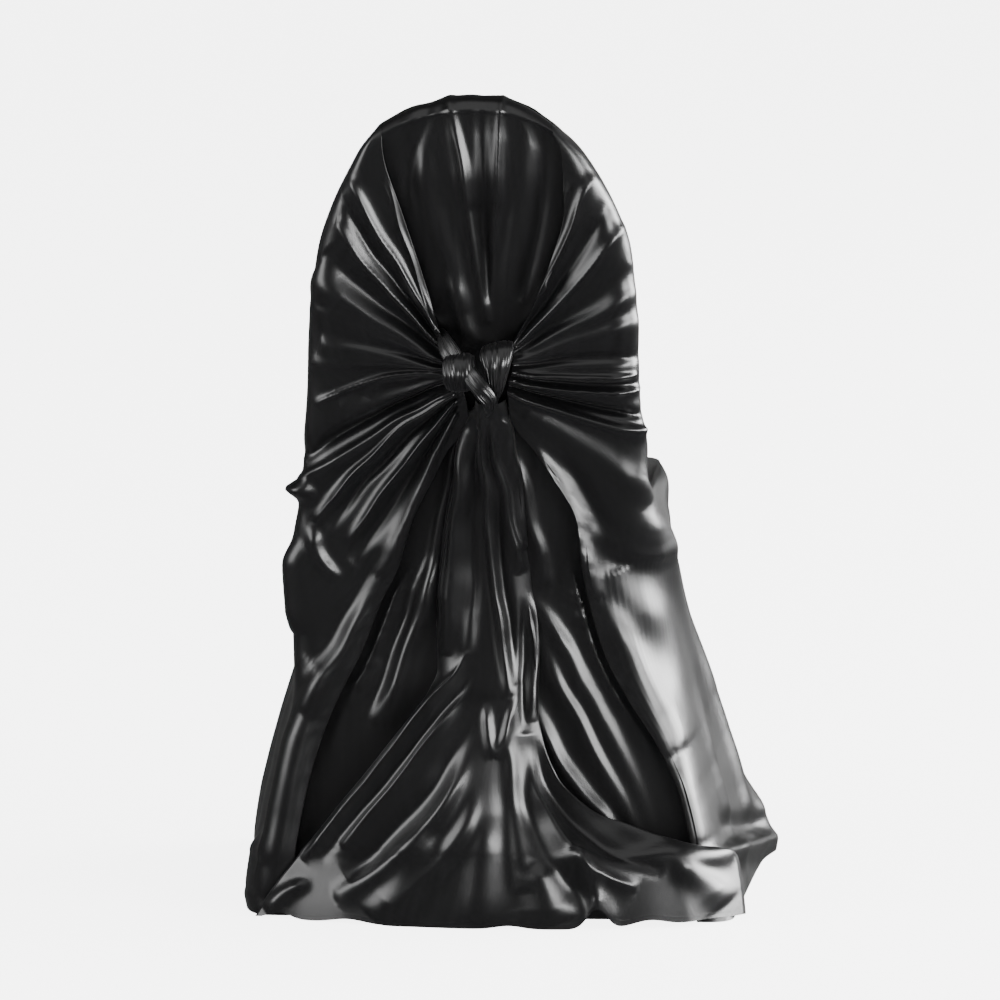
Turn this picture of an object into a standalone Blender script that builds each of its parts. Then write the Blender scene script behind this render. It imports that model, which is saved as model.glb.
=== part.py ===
"""Fitted satin cover with a sash tied at the back, as thin draped solids, in metres.

The viewer stands behind the backrest: +X is to the right, +Y goes away towards the seat side and
+Z is up. The cover stands on the floor and is hollow inside.

Every sheet is a smooth base surface with folds on it. The base surface comes from a table of level
sections, and each fold is a row of a table: a curve across the back with a width and a height.
"""

import math
from collections import namedtuple

import bpy
import numpy as np

# Driving dimensions, in metres
MM = 0.001
CLOTH = 2.6 * MM
HEM_EXTRA = 1.4 * MM
HEM_DEPTH = 15 * MM
SEAM_GAP = 0.9 * MM
CREST_CENTRE = 14 * MM
SHOULDER_Z = 868 * MM
CROWN_POWER = 2.2
CORNER_RADIUS = 34 * MM
CORNER_STEPS = 9
EDGE_STEPS = 24
EDGE_SEARCH = 160
BODY_COLUMNS = 58
PANEL_COLUMNS = 18
PANEL_ROW_SHARE = 0.5
TAIL_COLUMNS = 24
BACK_WEIGHT = 1.9
SIDE_WEIGHT = 0.8
SEAT_SIDE_WEIGHT = 0.34
FINEST_FOLD = 6.5 * MM
PANEL_INSET = 15 * MM
PANEL_TUCK = 26 * MM
NOTCH_CLEAR = 9 * MM
TAIL_CLEAR = 10 * MM
SHARP_ANGLE = math.radians(60)

# Shares without a unit: of a panel's half width from its middle, of a sheet's depth from its back,
# of a fold's length from its start
WING_EDGE_LIMIT = 0.985
CORNER_SHARE = 0.48
FLAT_SHARE = 0.02
FAN_GROWTH = 3
PANEL_FLAT = 0.3
PANEL_MIDDLE_INSET = 0.35
PANEL_VISIBLE = 0.8
PANEL_FADE = 0.25
PANEL_TUCK_START = 2
PANEL_TUCK_RUN = 2
CREST_FADE = 1 / 30
FACING_START = 0.25
FACING_RUN = 0.6
HEM_REACH = 1.15
FOLD_POINTS = 24
FOLD_START_HEIGHT = 0.65
FOLD_GROWTH = 4
FOLD_FADE = 5

# Knot, seen from behind: its middle and how far the sheets rise towards it
KNOT_X = 12 * MM
KNOT_Z = 628 * MM
KNOT_RISE = 15.8 * MM
KNOT_REACH = 58 * MM

# Level sections of the wrap, top to bottom, in millimetres. side_z is the height at the two sides of
# the back, crown how much higher the middle is, fan how far the wings' rows turn towards the knot,
# front_z the height on the seat side, steps the number of mesh rows down to the next section.
Section = namedtuple(
    "Section",
    "name side_z crown fan front_z back_y front_y left right front_left front_right steps",
)
SECTIONS = [
    Section("crest", 915, 31, 0, 915, -42, -40, -98, 97, -98, 97, 1),
    Section("crest round", 912, 33, 0, 912, -53, -28, -102, 103, -102, 103, 1),
    Section("crest foot", 901, 41, 0, 901, -62, -14, -112, 114, -112, 114, 2),
    Section("shoulder", 868, 60, 0.15, 868, -64, -4, -133, 141, -132, 140, 2),
    Section("upper back", 820, 68, 0.4, 820, -60, 6, -157, 168, -155, 166, 2),
    Section("chest", 771, 58, 0.6, 771, -54, 14, -174, 186, -170, 182, 3),
    Section("ribs", 718, 40, 0.72, 718, -46, 22, -182, 192, -178, 186, 4),
    Section("above knot", 664, 20, 0.8, 664, -38, 30, -188, 195, -182, 188, 5),
    Section("waist", 612, 8, 0.8, 605, -31, 38, -190, 194, -184, 190, 5),
    Section("below knot", 562, 2, 0.8, 535, -25, 46, -194, 203, -186, 192, 4),
    Section("seat rear", 512, 0, 0.76, 480, -19, 66, -197, 206, -188, 190, 3),
    Section("seat middle", 470, 0, 0.66, 475, -14, 235, -201, 212, -186, 188, 2),
    Section("seat front", 432, 0, 0.5, 470, -11, 392, -208, 226, -183, 185, 2),
    Section("seat edge", 396, 0, 0.36, 436, -9, 424, -213, 234, -184, 188, 2),
    Section("skirt top", 330, 0, 0.2, 352, -10, 430, -208, 239, -203, 203, 2),
    Section("skirt", 240, 0, 0.08, 244, -16, 434, -204, 250, -232, 230, 2),
    Section("skirt middle", 150, 0, 0, 152, -25, 437, -215, 266, -262, 262, 2),
    Section("skirt low", 66, 0, 0, 68, -35, 440, -232, 284, -284, 290, 2),
    Section("hem band", 16, 0, 0, 17, -41, 441, -243, 298, -295, 308, 1),
    Section("hem", 0, 0, 0, 0, -43, 441, -246, 302, -298, 312, 0),
]

# Free edges of the two wings at the back, top to bottom, in millimetres
Span = namedtuple("Span", "z left right")
OPENING = [
    Span(946, -97, 96),
    Span(918, -97, 96),
    Span(885, -95, 108),
    Span(823, -76, 111),
    Span(753, -54, 92),
    Span(692, -36, 66),
    Span(664, -27, 52),
    Span(640, -27, 51),
    Span(612, -6, 45),
    Span(580, 0, 46),
    Span(560, -6, 56),
    Span(539, -24, 74),
    Span(506, -41, 97),
    Span(456, -66, 122),
    Span(397, -84, 129),
    Span(361, -102, 136),
    Span(302, -125, 154),
    Span(250, -151, 182),
    Span(203, -170, 213),
    Span(146, -186, 240),
    Span(80, -198, 255),
    Span(0, -206, 262),
]

# Side edges of the tail below the knot, top to bottom, in millimetres. lift is how far its middle
# stands out from the wings.
TailSpan = namedtuple("TailSpan", "z left right lift steps")
TAIL_SPANS = [
    TailSpan(599, 8, 42, 47, 1),
    TailSpan(576, 3, 47, 32, 2),
    TailSpan(545, -5, 50, 26, 2),
    TailSpan(510, -15, 52, 20, 2),
    TailSpan(450, -25, 57, 18, 2),
    TailSpan(390, -29, 63, 21, 2),
    TailSpan(325, -33, 69, 25, 2),
    TailSpan(276, -38, 73, 30, 2),
    TailSpan(240, -60, 76, 35, 2),
    TailSpan(206, -87, 82, 40, 2),
    TailSpan(166, -118, 99, 46, 3),
    TailSpan(126, -151, 138, 51, 2),
    TailSpan(104, -168, 183, 54, 2),
    TailSpan(84, -184, 234, 56, 2),
    TailSpan(56, -204, 264, 59, 2),
    TailSpan(16, -230, 266, 62, 1),
    TailSpan(0, -238, 262, 63, 0),
]

# Folds of one sheet, in millimetres: where the fold starts, what it bends towards and where it ends,
# each as x and z on the back, then its half width at both ends and its height. A negative height is
# a trough. lean makes the side above the fold steeper, from 0 to 1.
Fold = namedtuple("Fold", "name x0 z0 x1 z1 x2 z2 width0 width2 height lean")
WRAP_FOLDS = [
    Fold("left shoulder upper", -40, 684, -84, 755, -132, 852, 6, 11, 8, 0.2),
    Fold("left shoulder trough", -42, 674, -94, 738, -142, 832, 5, 7, -4, 0.0),
    Fold("left shoulder lower", -42, 666, -106, 733, -150, 806, 6, 11, 8, -0.2),
    Fold("left chest trough", -44, 660, -110, 706, -160, 770, 6, 13, -4, 0.0),
    Fold("left chest", -44, 652, -104, 682, -178, 742, 7, 17, 7, 0.2),
    Fold("left rib", -44, 638, -92, 648, -170, 662, 6, 12, 6, 0.3),
    Fold("left rim", -44, 626, -118, 634, -176, 590, 5, 7, 6, 0.3),
    Fold("left lens", -44, 614, -90, 612, -150, 600, 6, 12, -5, 0.0),
    Fold("left buckle", -79, 621, -104, 618, -90, 590, 4, 4, 4, 0.0),
    Fold("left gap", -36, 607, -92, 590, -192, 526, 6, 10, -7, -0.2),
    Fold("left waist edge", -34, 597, -86, 574, -192, 502, 6, 11, 9, 0.3),
    Fold("left sweep upper", -38, 588, -118, 548, -176, 452, 6, 10, 9, 0.3),
    Fold("left sweep trough", -36, 580, -106, 524, -162, 444, 5, 8, -5, 0.0),
    Fold("left sweep middle", -36, 572, -86, 510, -140, 428, 6, 10, 8, 0.2),
    Fold("left sweep hook", -172, 448, -196, 420, -150, 384, 9, 7, 6, 0.0),
    Fold("left sweep deep", -34, 562, -76, 486, -138, 404, 5, 11, -6, 0.0),
    Fold("left flap", -34, 548, -64, 482, -100, 388, 6, 11, 7, 0.0),
    Fold("left drop trough", -96, 428, -140, 352, -178, 286, 9, 16, -5, 0.0),
    Fold("left drop", -112, 374, -150, 304, -188, 232, 9, 14, 7, 0.1),
    Fold("left side bulge", -207, 435, -217, 384, -207, 319, 18, 20, 8, 0.0),
    Fold("left side tip", -172, 493, -196, 487, -226, 482, 12, 9, 16, 0.0),
    Fold("left skirt", -198, 262, -220, 158, -238, 22, 17, 26, 7, 0.0),
    Fold("right shoulder upper", 64, 682, 98, 742, 143, 858, 6, 11, 8, 0.2),
    Fold("right shoulder trough", 64, 674, 108, 728, 160, 828, 5, 8, -4, 0.0),
    Fold("right shoulder lower", 64, 668, 117, 716, 176, 800, 6, 12, 7, -0.2),
    Fold("right chest trough", 66, 662, 122, 697, 186, 752, 6, 13, -4, 0.0),
    Fold("right chest", 66, 654, 124, 668, 194, 692, 7, 14, 6, 0.2),
    Fold("right side gap", 66, 646, 126, 648, 196, 652, 5, 8, -5, 0.0),
    Fold("right rim", 66, 638, 122, 622, 190, 629, 5, 6, 6, 0.4),
    Fold("right rim trough", 66, 629, 126, 612, 194, 618, 4, 6, -5, 0.0),
    Fold("right second rim", 66, 620, 132, 603, 198, 610, 5, 6, 6, 0.4),
    Fold("right gap", 66, 604, 128, 588, 202, 579, 5, 6, -8, -0.2),
    Fold("right waist edge", 66, 597, 124, 578, 206, 561, 5, 8, 9, 0.4),
    Fold("right panel fold", 72, 580, 138, 543, 208, 482, 11, 19, 5, 0.0),
    Fold("right sweep", 72, 552, 112, 482, 142, 366, 7, 11, 8, 0.2),
    Fold("right sweep trough", 88, 552, 140, 490, 170, 400, 9, 17, -6, 0.0),
    Fold("right reflection edge", 136, 450, 178, 412, 236, 408, 11, 11, 5, 0.0),
    Fold("right drape upper", 146, 376, 186, 288, 238, 190, 12, 17, 7, 0.2),
    Fold("right drape lower", 164, 412, 222, 308, 282, 158, 17, 24, 5, 0.0),
    Fold("right drape trough", 192, 352, 236, 262, 284, 132, 14, 18, -5, 0.0),
    Fold("right side corner", 212, 548, 222, 458, 239, 394, 14, 17, 5, 0.0),
    Fold("right skirt", 252, 342, 281, 227, 308, 42, 18, 26, 6, 0.0),
]
PANEL_FOLDS = [
    Fold("crest ridge left", -22, 938, -1, 850, 22, 686, 8, 8, 9, 0.3),
    Fold("crest ridge right", 37, 945, 43, 885, 29, 769, 7, 7, 8, 0.3),
    Fold("spine trough", 17, 938, 19, 827, 22, 712, 9, 6, -7, 0.0),
    Fold("left plane", -67, 922, -45, 839, -3, 700, 16, 10, 6, 0.0),
    Fold("left trough", -42, 924, -67, 873, -72, 821, 8, 9, -7, 0.0),
    Fold("right plane", 72, 919, 65, 838, 42, 711, 14, 9, 5, 0.0),
    Fold("right trough", 90, 905, 93, 827, 61, 711, 9, 7, -6, 0.0),
    Fold("above knot", -22, 748, -8, 706, 6, 660, 10, 10, 6, 0.0),
    Fold("fan left", -33, 411, -65, 328, -95, 227, 10, 14, 8, 0.0),
    Fold("fan left trough", -29, 365, -54, 285, -77, 204, 8, 12, -5, 0.0),
    Fold("fan left edge", -54, 411, -100, 296, -145, 199, 8, 12, 6, 0.0),
    Fold("fan right first", 61, 375, 129, 287, 221, 93, 10, 11, 8, 0.2),
    Fold("fan right second", 67, 340, 125, 215, 200, 93, 9, 11, 7, 0.2),
    Fold("fan right third", 102, 412, 154, 296, 230, 158, 10, 12, 7, 0.0),
    Fold("fan right fourth", 67, 262, 93, 167, 175, 93, 8, 11, 7, 0.0),
]
TAIL_FOLDS = [
    Fold("left spine", 5, 585, -14, 463, -27, 303, 6, 10, 9, 0.2),
    Fold("right spine", 17, 585, 17, 451, 46, 259, 6, 8, 8, 0.2),
    Fold("cheek", 25, 575, 40, 474, 58, 397, 6, 6, 7, 0.0),
    Fold("arm", 40, 575, 52, 519, 61, 422, 5, 7, 6, 0.0),
    Fold("left valley", 10, 564, 2, 440, 1, 303, 6, 10, -5, 0.0),
    Fold("right valley", 33, 519, 34, 395, 56, 271, 5, 9, -5, 0.0),
    Fold("cup left", 21, 252, 22, 216, 31, 191, 6, 6, 6, 0.0),
    Fold("cup right", 48, 252, 45, 212, 32, 191, 6, 6, 6, 0.0),
    Fold("left swag rim", 2, 305, -66, 214, -186, 72, 8, 11, 11, 0.4),
    Fold("left swag inner", -10, 262, -54, 204, -146, 92, 9, 12, 6, 0.0),
    Fold("left swag trough", 2, 237, -45, 146, -152, 52, 12, 16, -6, 0.0),
    Fold("left swag lower", -2, 176, -46, 108, -165, 34, 14, 14, 8, 0.0),
    Fold("right swag rim", 74, 242, 106, 142, 222, 88, 9, 12, 11, 0.3),
    Fold("right swag trough", 68, 196, 110, 102, 202, 56, 13, 16, -6, 0.0),
    Fold("right swag inner", 124, 100, 146, 70, 158, 10, 13, 14, 8, 0.0),
    Fold("low ridge", 30, 150, 19, 89, 16, 6, 15, 18, 10, 0.0),
    Fold("low left", -34, 110, -64, 60, -104, 6, 18, 22, 9, 0.0),
    Fold("low right", 80, 78, 90, 46, 104, 6, 18, 22, 7, 0.0),
    Fold("low pit", 50, 176, 54, 100, 60, 20, 16, 22, -5, 0.0),
]

# Folds of the two side panels, as above but with y in place of x
LEFT_SIDE_FOLDS = [
    Fold("left pull upper", 30, 556, 150, 500, 336, 462, 24, 30, 7, 0.0),
    Fold("left pull lower", 30, 486, 150, 412, 330, 226, 28, 34, 6, 0.0),
    Fold("left flute front", 372, 330, 384, 180, 396, 4, 28, 34, 7, 0.0),
    Fold("left flute back", 96, 300, 86, 160, 78, 4, 30, 36, 8, 0.0),
]
RIGHT_SIDE_FOLDS = [
    Fold("right pull upper", 30, 540, 160, 486, 340, 452, 26, 30, 7, 0.0),
    Fold("right pull lower", 40, 452, 140, 380, 280, 190, 30, 36, 7, 0.0),
    Fold("right flute front", 356, 320, 362, 170, 350, 4, 30, 36, 8, 0.0),
    Fold("right flute back", 150, 250, 160, 130, 168, 4, 30, 36, 6, 0.0),
]

# Places where the near hem leaves the floor, in millimetres: x, how high and how far to each side
HemLift = namedtuple("HemLift", "x lift reach")
HEM_LIFTS = [
    HemLift(-214, 7, 16),
    HemLift(-134, 5, 26),
    HemLift(52, 4, 22),
    HemLift(152, 24, 15),
    HemLift(212, 6, 18),
]
HEM_LIFT_TOP = 90 * MM

# Turns of the knot, in millimetres: both ends of each roll on the back, how far out they lie, the
# roll's half width at both ends, its half depth, the pleats along it and the pleats around it
Roll = namedtuple("Roll", "name x0 z0 x1 z1 depth0 depth1 half0 half1 half_depth long_pleats ring_pleats")
KNOT_ROLLS = [
    Roll("knot_left_band", -28, 676, -3, 646, -48.8, -50.8, 10, 13, 5, 4, 0),
    Roll("knot_wrap", -27, 640, 18, 637, -69, -69, 18, 13, 17, 0, 4),
    Roll("knot_right_fan", 38, 672, 37, 604, -66, -62, 24, 10, 16, 9, 0),
    Roll("knot_cross_band", 11, 634, 32, 594, -86.1, -79.1, 9, 8, 5, 5, 0),
]
ROLL_SIDES = 18
ROLL_RINGS = 11
ROLL_CAP = 2 * MM
ROLL_ROUNDNESS = 0.55
PLEAT_DEPTH = 0.07

# Satin colours, linear RGB, and its gloss
SATIN = (0.010, 0.010, 0.011, 1.0)
SATIN_ROUGHNESS = 0.34
SATIN_SHEEN = 0.25


def column(table, name):
    """One named column of a table as an array in metres, or as plain numbers for a share."""
    values = np.array([getattr(row, name) for row in table], float)
    return values if name == "fan" else values * MM


def smooth_through(at, knots, values):
    """Values at the places given, on a curve through the knots that never overshoots them."""
    at = np.clip(at, knots[0], knots[-1])
    step = np.diff(knots)
    slope = np.diff(values) / step
    tangent = np.zeros(len(knots))
    same_way = slope[:-1] * slope[1:] > 0
    inner = np.zeros(len(slope) - 1)
    inner[same_way] = 2 * slope[:-1][same_way] * slope[1:][same_way] / (slope[:-1] + slope[1:])[same_way]
    tangent[1:-1] = inner
    tangent[0], tangent[-1] = slope[0], slope[-1]
    piece = np.clip(np.searchsorted(knots, at, side="right") - 1, 0, len(step) - 1)
    t = (at - knots[piece]) / step[piece]
    start, end = values[piece], values[piece + 1]
    out, into = tangent[piece] * step[piece], tangent[piece + 1] * step[piece]
    rise = t * t * (3 - 2 * t)
    return start + rise * (end - start) + t * (1 - t) ** 2 * out - t * t * (1 - t) * into


def row_places(table, share=1.0):
    """Places of the mesh rows along a table: the steps that each of its rows asks for, or a share."""
    places = [0.0]
    for index, row in enumerate(table[:-1]):
        steps = max(1, round(row.steps * share))
        places += [index + (step + 1) / steps for step in range(steps)]
    return np.array(places)


def section_at(place):
    """The section at a place along the table, with every size in metres."""
    knots = np.arange(len(SECTIONS), dtype=float)
    sizes = {}
    for name in Section._fields[1:-1]:
        sizes[name] = float(smooth_through(np.array([place]), knots, column(SECTIONS, name))[0])
    return sizes


def level(size, x, height="side_z", left="left", right="right"):
    """Height of a section above x: its side height, and its crown in the middle."""
    reach = np.where(x > CREST_CENTRE, size[right] - CREST_CENTRE, CREST_CENTRE - size[left])
    share = np.clip(np.abs(x - CREST_CENTRE) / reach, 0, 1)
    return size[height] + size["crown"] * (1 - share**CROWN_POWER)


def wall_y(z):
    """How far out the flat of the back stands at a height, which no longer changes above the shoulder."""
    heights = column(SECTIONS, "side_z")[::-1]
    return smooth_through(np.minimum(z, SHOULDER_Z), heights, column(SECTIONS, "back_y")[::-1])


def edge_x(table, z, side):
    """Where a free edge of a table runs at a height."""
    heights = column(table, "z")[::-1]
    return smooth_through(np.atleast_1d(z), heights, column(table, side)[::-1])[0]


def wing_level(size, x):
    """Height of a wing's row above x: it turns from its side height towards the knot."""
    reach = np.where(x > KNOT_X, size["right"] - KNOT_X, KNOT_X - size["left"])
    share = np.clip(np.abs(x - KNOT_X) / reach, 0, 1)
    turned = size["side_z"] + (KNOT_Z - size["side_z"]) * (1 - share)
    return (1 - size["fan"]) * level(size, x) + size["fan"] * turned


def turned_share(size):
    """How far a section follows the wall's true height: 0 at the crest, 1 where its rows turn."""
    return min(FAN_GROWTH * size["fan"], 1)


def opening_x(size, side, height=wing_level):
    """Where a row meets a wing's free edge, kept on the flat of the back."""
    x = np.linspace(size[side] * WING_EDGE_LIMIT, KNOT_X, EDGE_SEARCH)
    edge = np.array([edge_x(OPENING, z, side) for z in height(size, x)])
    past = np.nonzero(np.abs(x - KNOT_X) <= np.abs(edge - KNOT_X))[0]
    return x[past[0]] if len(past) else x[-1]


def rounded(path, radii):
    """A polyline with its inner corners rounded, as points in the plane."""
    points = [path[0]]
    for before, corner, after, radius in zip(path, path[1:], path[2:], radii):
        start = corner + (before - corner) * min(radius / np.linalg.norm(before - corner), 0.5)
        end = corner + (after - corner) * min(radius / np.linalg.norm(after - corner), 0.5)
        for t in np.linspace(0, 1, CORNER_STEPS):
            points.append((1 - t) ** 2 * start + 2 * t * (1 - t) * corner + t * t * end)
    points.append(path[-1])
    return np.array(points)


def denser(points):
    """The same path with points between, so that it can be measured evenly."""
    parts = [np.linspace(a, b, EDGE_STEPS, endpoint=False) for a, b in zip(points, points[1:])]
    return np.vstack(parts + [points[-1:]])


def wrap_row(place, columns):
    """One row of the wrap: from the right wing's edge round the seat side to the left wing's edge."""
    size = section_at(place)
    corners = np.array(
        [
            (opening_x(size, "left"), size["back_y"]),
            (size["left"], size["back_y"]),
            (size["front_left"], size["front_y"]),
            (size["front_right"], size["front_y"]),
            (size["right"], size["back_y"]),
            (opening_x(size, "right"), size["back_y"]),
        ]
    )
    depth = size["front_y"] - size["back_y"]
    radius = min(CORNER_RADIUS, CORNER_SHARE * depth)
    path = denser(rounded(corners, [radius] * 4))
    forward = np.clip((path[:, 1] - size["back_y"]) / depth, 0, 1)
    back_z = wing_level(size, path[:, 0])
    front_z = level(size, path[:, 0], "front_z", "front_left", "front_right")
    blend = forward * forward * (3 - 2 * forward)
    z = back_z + blend * (front_z - back_z)
    y = path[:, 1] + (1 - blend) * turned_share(size) * (wall_y(back_z) - size["back_y"])
    run = np.linalg.norm(np.diff(path, axis=0), axis=1)
    middle = (forward[1:] + forward[:-1]) / 2
    weight = np.where(middle < FLAT_SHARE, BACK_WEIGHT, SIDE_WEIGHT)
    weight = np.where(middle > 1 - FLAT_SHARE, SEAT_SIDE_WEIGHT, weight)
    length = np.concatenate([[0], np.cumsum(run * weight)])
    even = np.linspace(0, length[-1], columns)
    row = np.stack([np.interp(even, length, values) for values in (path[:, 0], y, z)], axis=1)
    return row[::-1]


def wrap_base():
    """Base surface of the wrap as rows of points."""
    return np.array([wrap_row(place, BODY_COLUMNS) for place in row_places(SECTIONS)])


def panel_base():
    """Base surface of the hood's back, tucked behind the wings and drawn in behind the knot."""
    rows = []
    for place in row_places(SECTIONS, PANEL_ROW_SHARE):
        size = section_at(place)
        left, right = opening_x(size, "left", level), opening_x(size, "right", level)
        tucked = np.clip((place - PANEL_TUCK_START) / PANEL_TUCK_RUN, 0, 1)
        clear = (1 - tucked) * NOTCH_CLEAR
        tuck_left = tucked * min(PANEL_TUCK, 0.5 * (left - size["left"]))
        tuck_right = tucked * min(PANEL_TUCK, 0.5 * (size["right"] - right))
        x = np.linspace(left - tuck_left + clear, right + tuck_right - clear, PANEL_COLUMNS)
        side = np.linspace(-1, 1, PANEL_COLUMNS)
        near_edge = np.clip((np.abs(side) - PANEL_FLAT) / (1 - PANEL_FLAT), 0, 1)
        inset = PANEL_INSET * tucked * (PANEL_MIDDLE_INSET + (1 - PANEL_MIDDLE_INSET) * near_edge)
        z = level(size, x)
        wall = size["back_y"] + turned_share(size) * (wall_y(z) - size["back_y"])
        rows.append(np.stack([x, wall + inset, z], axis=1))
    rows = np.array(rows)
    rows[0, :, 1] = column(SECTIONS, "back_y")[0] - SEAM_GAP
    return rows


def tail_base():
    """Base surface of the tail, in front of the wings, spreading to the floor."""
    knots = np.arange(len(TAIL_SPANS), dtype=float)
    places = row_places(TAIL_SPANS)
    z, left, right, lift = (
        smooth_through(places, knots, column(TAIL_SPANS, name)) for name in ("z", "left", "right", "lift")
    )
    side = np.linspace(-1, 1, TAIL_COLUMNS)
    rows = []
    for height, x0, x1, rise, back in zip(z, left, right, lift, wall_y(z)):
        x = x0 + (x1 - x0) * (side + 1) / 2
        y = back - TAIL_CLEAR - (rise - TAIL_CLEAR) * (1 - side**2)
        rows.append(np.stack([x, y, height + hem_rise(x, height)], axis=1))
    return np.array(rows)


def normals_of(grid):
    """Unit normals of a grid of points, away from the hollow inside."""
    down = np.gradient(grid, axis=0)
    along = np.gradient(grid, axis=1)
    normal = np.cross(down, along)
    return normal / np.linalg.norm(normal, axis=2, keepdims=True)


def fold_height(x, z, folds):
    """Height of the cloth above its base at points of the back, with every fold of a table."""
    total = np.zeros(x.shape)
    here = np.stack([x, z], axis=-1)
    for fold in folds:
        start = np.array([fold.x0, fold.z0]) * MM
        bend = np.array([fold.x1, fold.z1]) * MM
        end = np.array([fold.x2, fold.z2]) * MM
        t = np.linspace(0, 1, FOLD_POINTS + 1)[:, None]
        curve = (1 - t) ** 2 * start + 2 * t * (1 - t) * bend + t * t * end
        best = np.full(x.shape, np.inf)
        along = np.zeros(x.shape)
        side = np.zeros(x.shape)
        for index, (a, b) in enumerate(zip(curve, curve[1:])):
            run = b - a
            share = np.clip(((here - a) @ run) / (run @ run), 0, 1)
            away = here - (a + share[..., None] * run)
            distance = np.linalg.norm(away, axis=-1)
            closer = distance < best
            best = np.where(closer, distance, best)
            along = np.where(closer, (index + share) / FOLD_POINTS, along)
            side = np.where(closer, np.sign(away[..., 1]), side)
        width = (fold.width0 + (fold.width2 - fold.width0) * along) * MM
        width = np.maximum(width, FINEST_FOLD) * (1 - fold.lean * side)
        grown = np.clip(FOLD_START_HEIGHT + FOLD_GROWTH * along, 0, 1)
        fading = np.sqrt(np.clip(FOLD_FADE * (1 - along), 0, 1))
        total += fold.height * MM * grown * fading * np.exp(-((best / width) ** 2))
    return total


def hem_rise(x, z):
    """How far the near hem is lifted, fading out upwards."""
    lift = sum(row.lift * MM * np.exp(-(((x - row.x * MM) / (row.reach * MM)) ** 2)) for row in HEM_LIFTS)
    return lift * np.clip(1 - z / HEM_LIFT_TOP, 0, 1)


def knot_rise(x, z):
    """How far the gathered cloth rises towards the knot."""
    away = np.hypot(x - KNOT_X, z - KNOT_Z)
    return KNOT_RISE * np.exp(-((away / KNOT_REACH) ** 2))


def shell(name, outer, inner, material):
    """Object from two grids of points, closed along their four edges."""
    rows, columns = outer.shape[:2]
    count = rows * columns
    place = np.arange(count).reshape(rows, columns)
    faces = []
    for r in range(rows - 1):
        for c in range(columns - 1):
            a, b = place[r, c], place[r, c + 1]
            d, e = place[r + 1, c], place[r + 1, c + 1]
            faces += [(a, d, e), (a, e, b)]
            faces += [(count + a, count + e, count + d), (count + a, count + b, count + e)]
    border = list(place[0, :-1]) + list(place[:-1, -1]) + list(place[-1, :0:-1]) + list(place[:0:-1, 0])
    for a, b in zip(border, border[1:] + border[:1]):
        faces += [(a, b, count + b), (a, count + b, count + a)]
    points = np.vstack([outer.reshape(-1, 3), inner.reshape(-1, 3)])
    mesh = bpy.data.meshes.new(name)
    mesh.from_pydata(points.tolist(), [], [tuple(int(i) for i in face) for face in faces])
    mesh.materials.append(material)
    mesh.shade_smooth()
    mesh.set_sharp_from_angle(angle=SHARP_ANGLE)
    thing = bpy.data.objects.new(name, mesh)
    bpy.context.scene.collection.objects.link(thing)
    return thing


def cloth_sheet(name, grid, height, material):
    """A sheet of cloth on a grid: folds outwards, cloth thickness inwards, and a doubled hem below."""
    normal = normals_of(grid)
    above_hem = (grid[..., 2] - grid[-1:, :, 2]) / HEM_DEPTH
    hem = np.clip(HEM_REACH - above_hem, 0, 1)[..., None] * HEM_EXTRA
    outer = grid + normal * (height[..., None] + hem / 2)
    inner = outer - normal * (CLOTH + hem)
    for side in (outer, inner):
        side[-1, :, 2] = grid[-1, :, 2]
        side[..., 2] = np.maximum(side[..., 2], 0)
    return shell(name, outer, inner, material)


def roll(turn, material):
    """One turn of the knot: a pleated roll of cloth with rounded ends."""
    t = np.linspace(0, math.pi, ROLL_RINGS + 2)[1:-1]
    along = (1 - np.cos(t)) / 2
    swell = np.sin(t) ** ROLL_ROUNDNESS
    start = np.array([turn.x0, turn.depth0, turn.z0]) * MM
    end = np.array([turn.x1, turn.depth1, turn.z1]) * MM
    run = (end - start) / np.linalg.norm(end - start)
    out = np.array([0, -1, 0]) + run * run[1]
    out /= np.linalg.norm(out)
    across = np.cross(out, run)
    angle = np.arange(ROLL_SIDES) * 2 * math.pi / ROLL_SIDES
    pleat = 1 + PLEAT_DEPTH * np.cos(turn.long_pleats * angle) * (turn.long_pleats > 0)
    points = [start - run * ROLL_CAP]
    for share, fat in zip(along, swell):
        ring = 1 + PLEAT_DEPTH * math.sin(2 * math.pi * turn.ring_pleats * share)
        half = (turn.half0 + (turn.half1 - turn.half0) * share) * MM * fat * ring
        deep = turn.half_depth * MM * fat * ring
        centre = start + (end - start) * share
        for a, p in zip(angle, pleat):
            points.append(centre + across * half * p * math.cos(a) + out * deep * p * math.sin(a))
    points.append(end + run * ROLL_CAP)
    faces = []
    for k in range(ROLL_SIDES):
        n = (k + 1) % ROLL_SIDES
        faces.append((0, 1 + n, 1 + k))
        for ring in range(ROLL_RINGS - 1):
            a = 1 + ring * ROLL_SIDES
            b = a + ROLL_SIDES
            faces += [(a + k, a + n, b + n), (a + k, b + n, b + k)]
        last = 1 + (ROLL_RINGS - 1) * ROLL_SIDES
        faces.append((last + k, last + n, len(points) - 1))
    mesh = bpy.data.meshes.new(turn.name)
    mesh.from_pydata([tuple(p) for p in points], [], faces)
    mesh.materials.append(material)
    mesh.shade_smooth()
    thing = bpy.data.objects.new(turn.name, mesh)
    bpy.context.scene.collection.objects.link(thing)
    return thing


def satin(name):
    """Dark satin for one piece."""
    material = bpy.data.materials.new(name)
    material.use_nodes = True
    shader = material.node_tree.nodes["Principled BSDF"]
    shader.inputs["Base Color"].default_value = SATIN
    shader.inputs["Roughness"].default_value = SATIN_ROUGHNESS
    shader.inputs["Metallic"].default_value = 0.0
    shader.inputs["Sheen Weight"].default_value = SATIN_SHEEN
    return material


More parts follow.
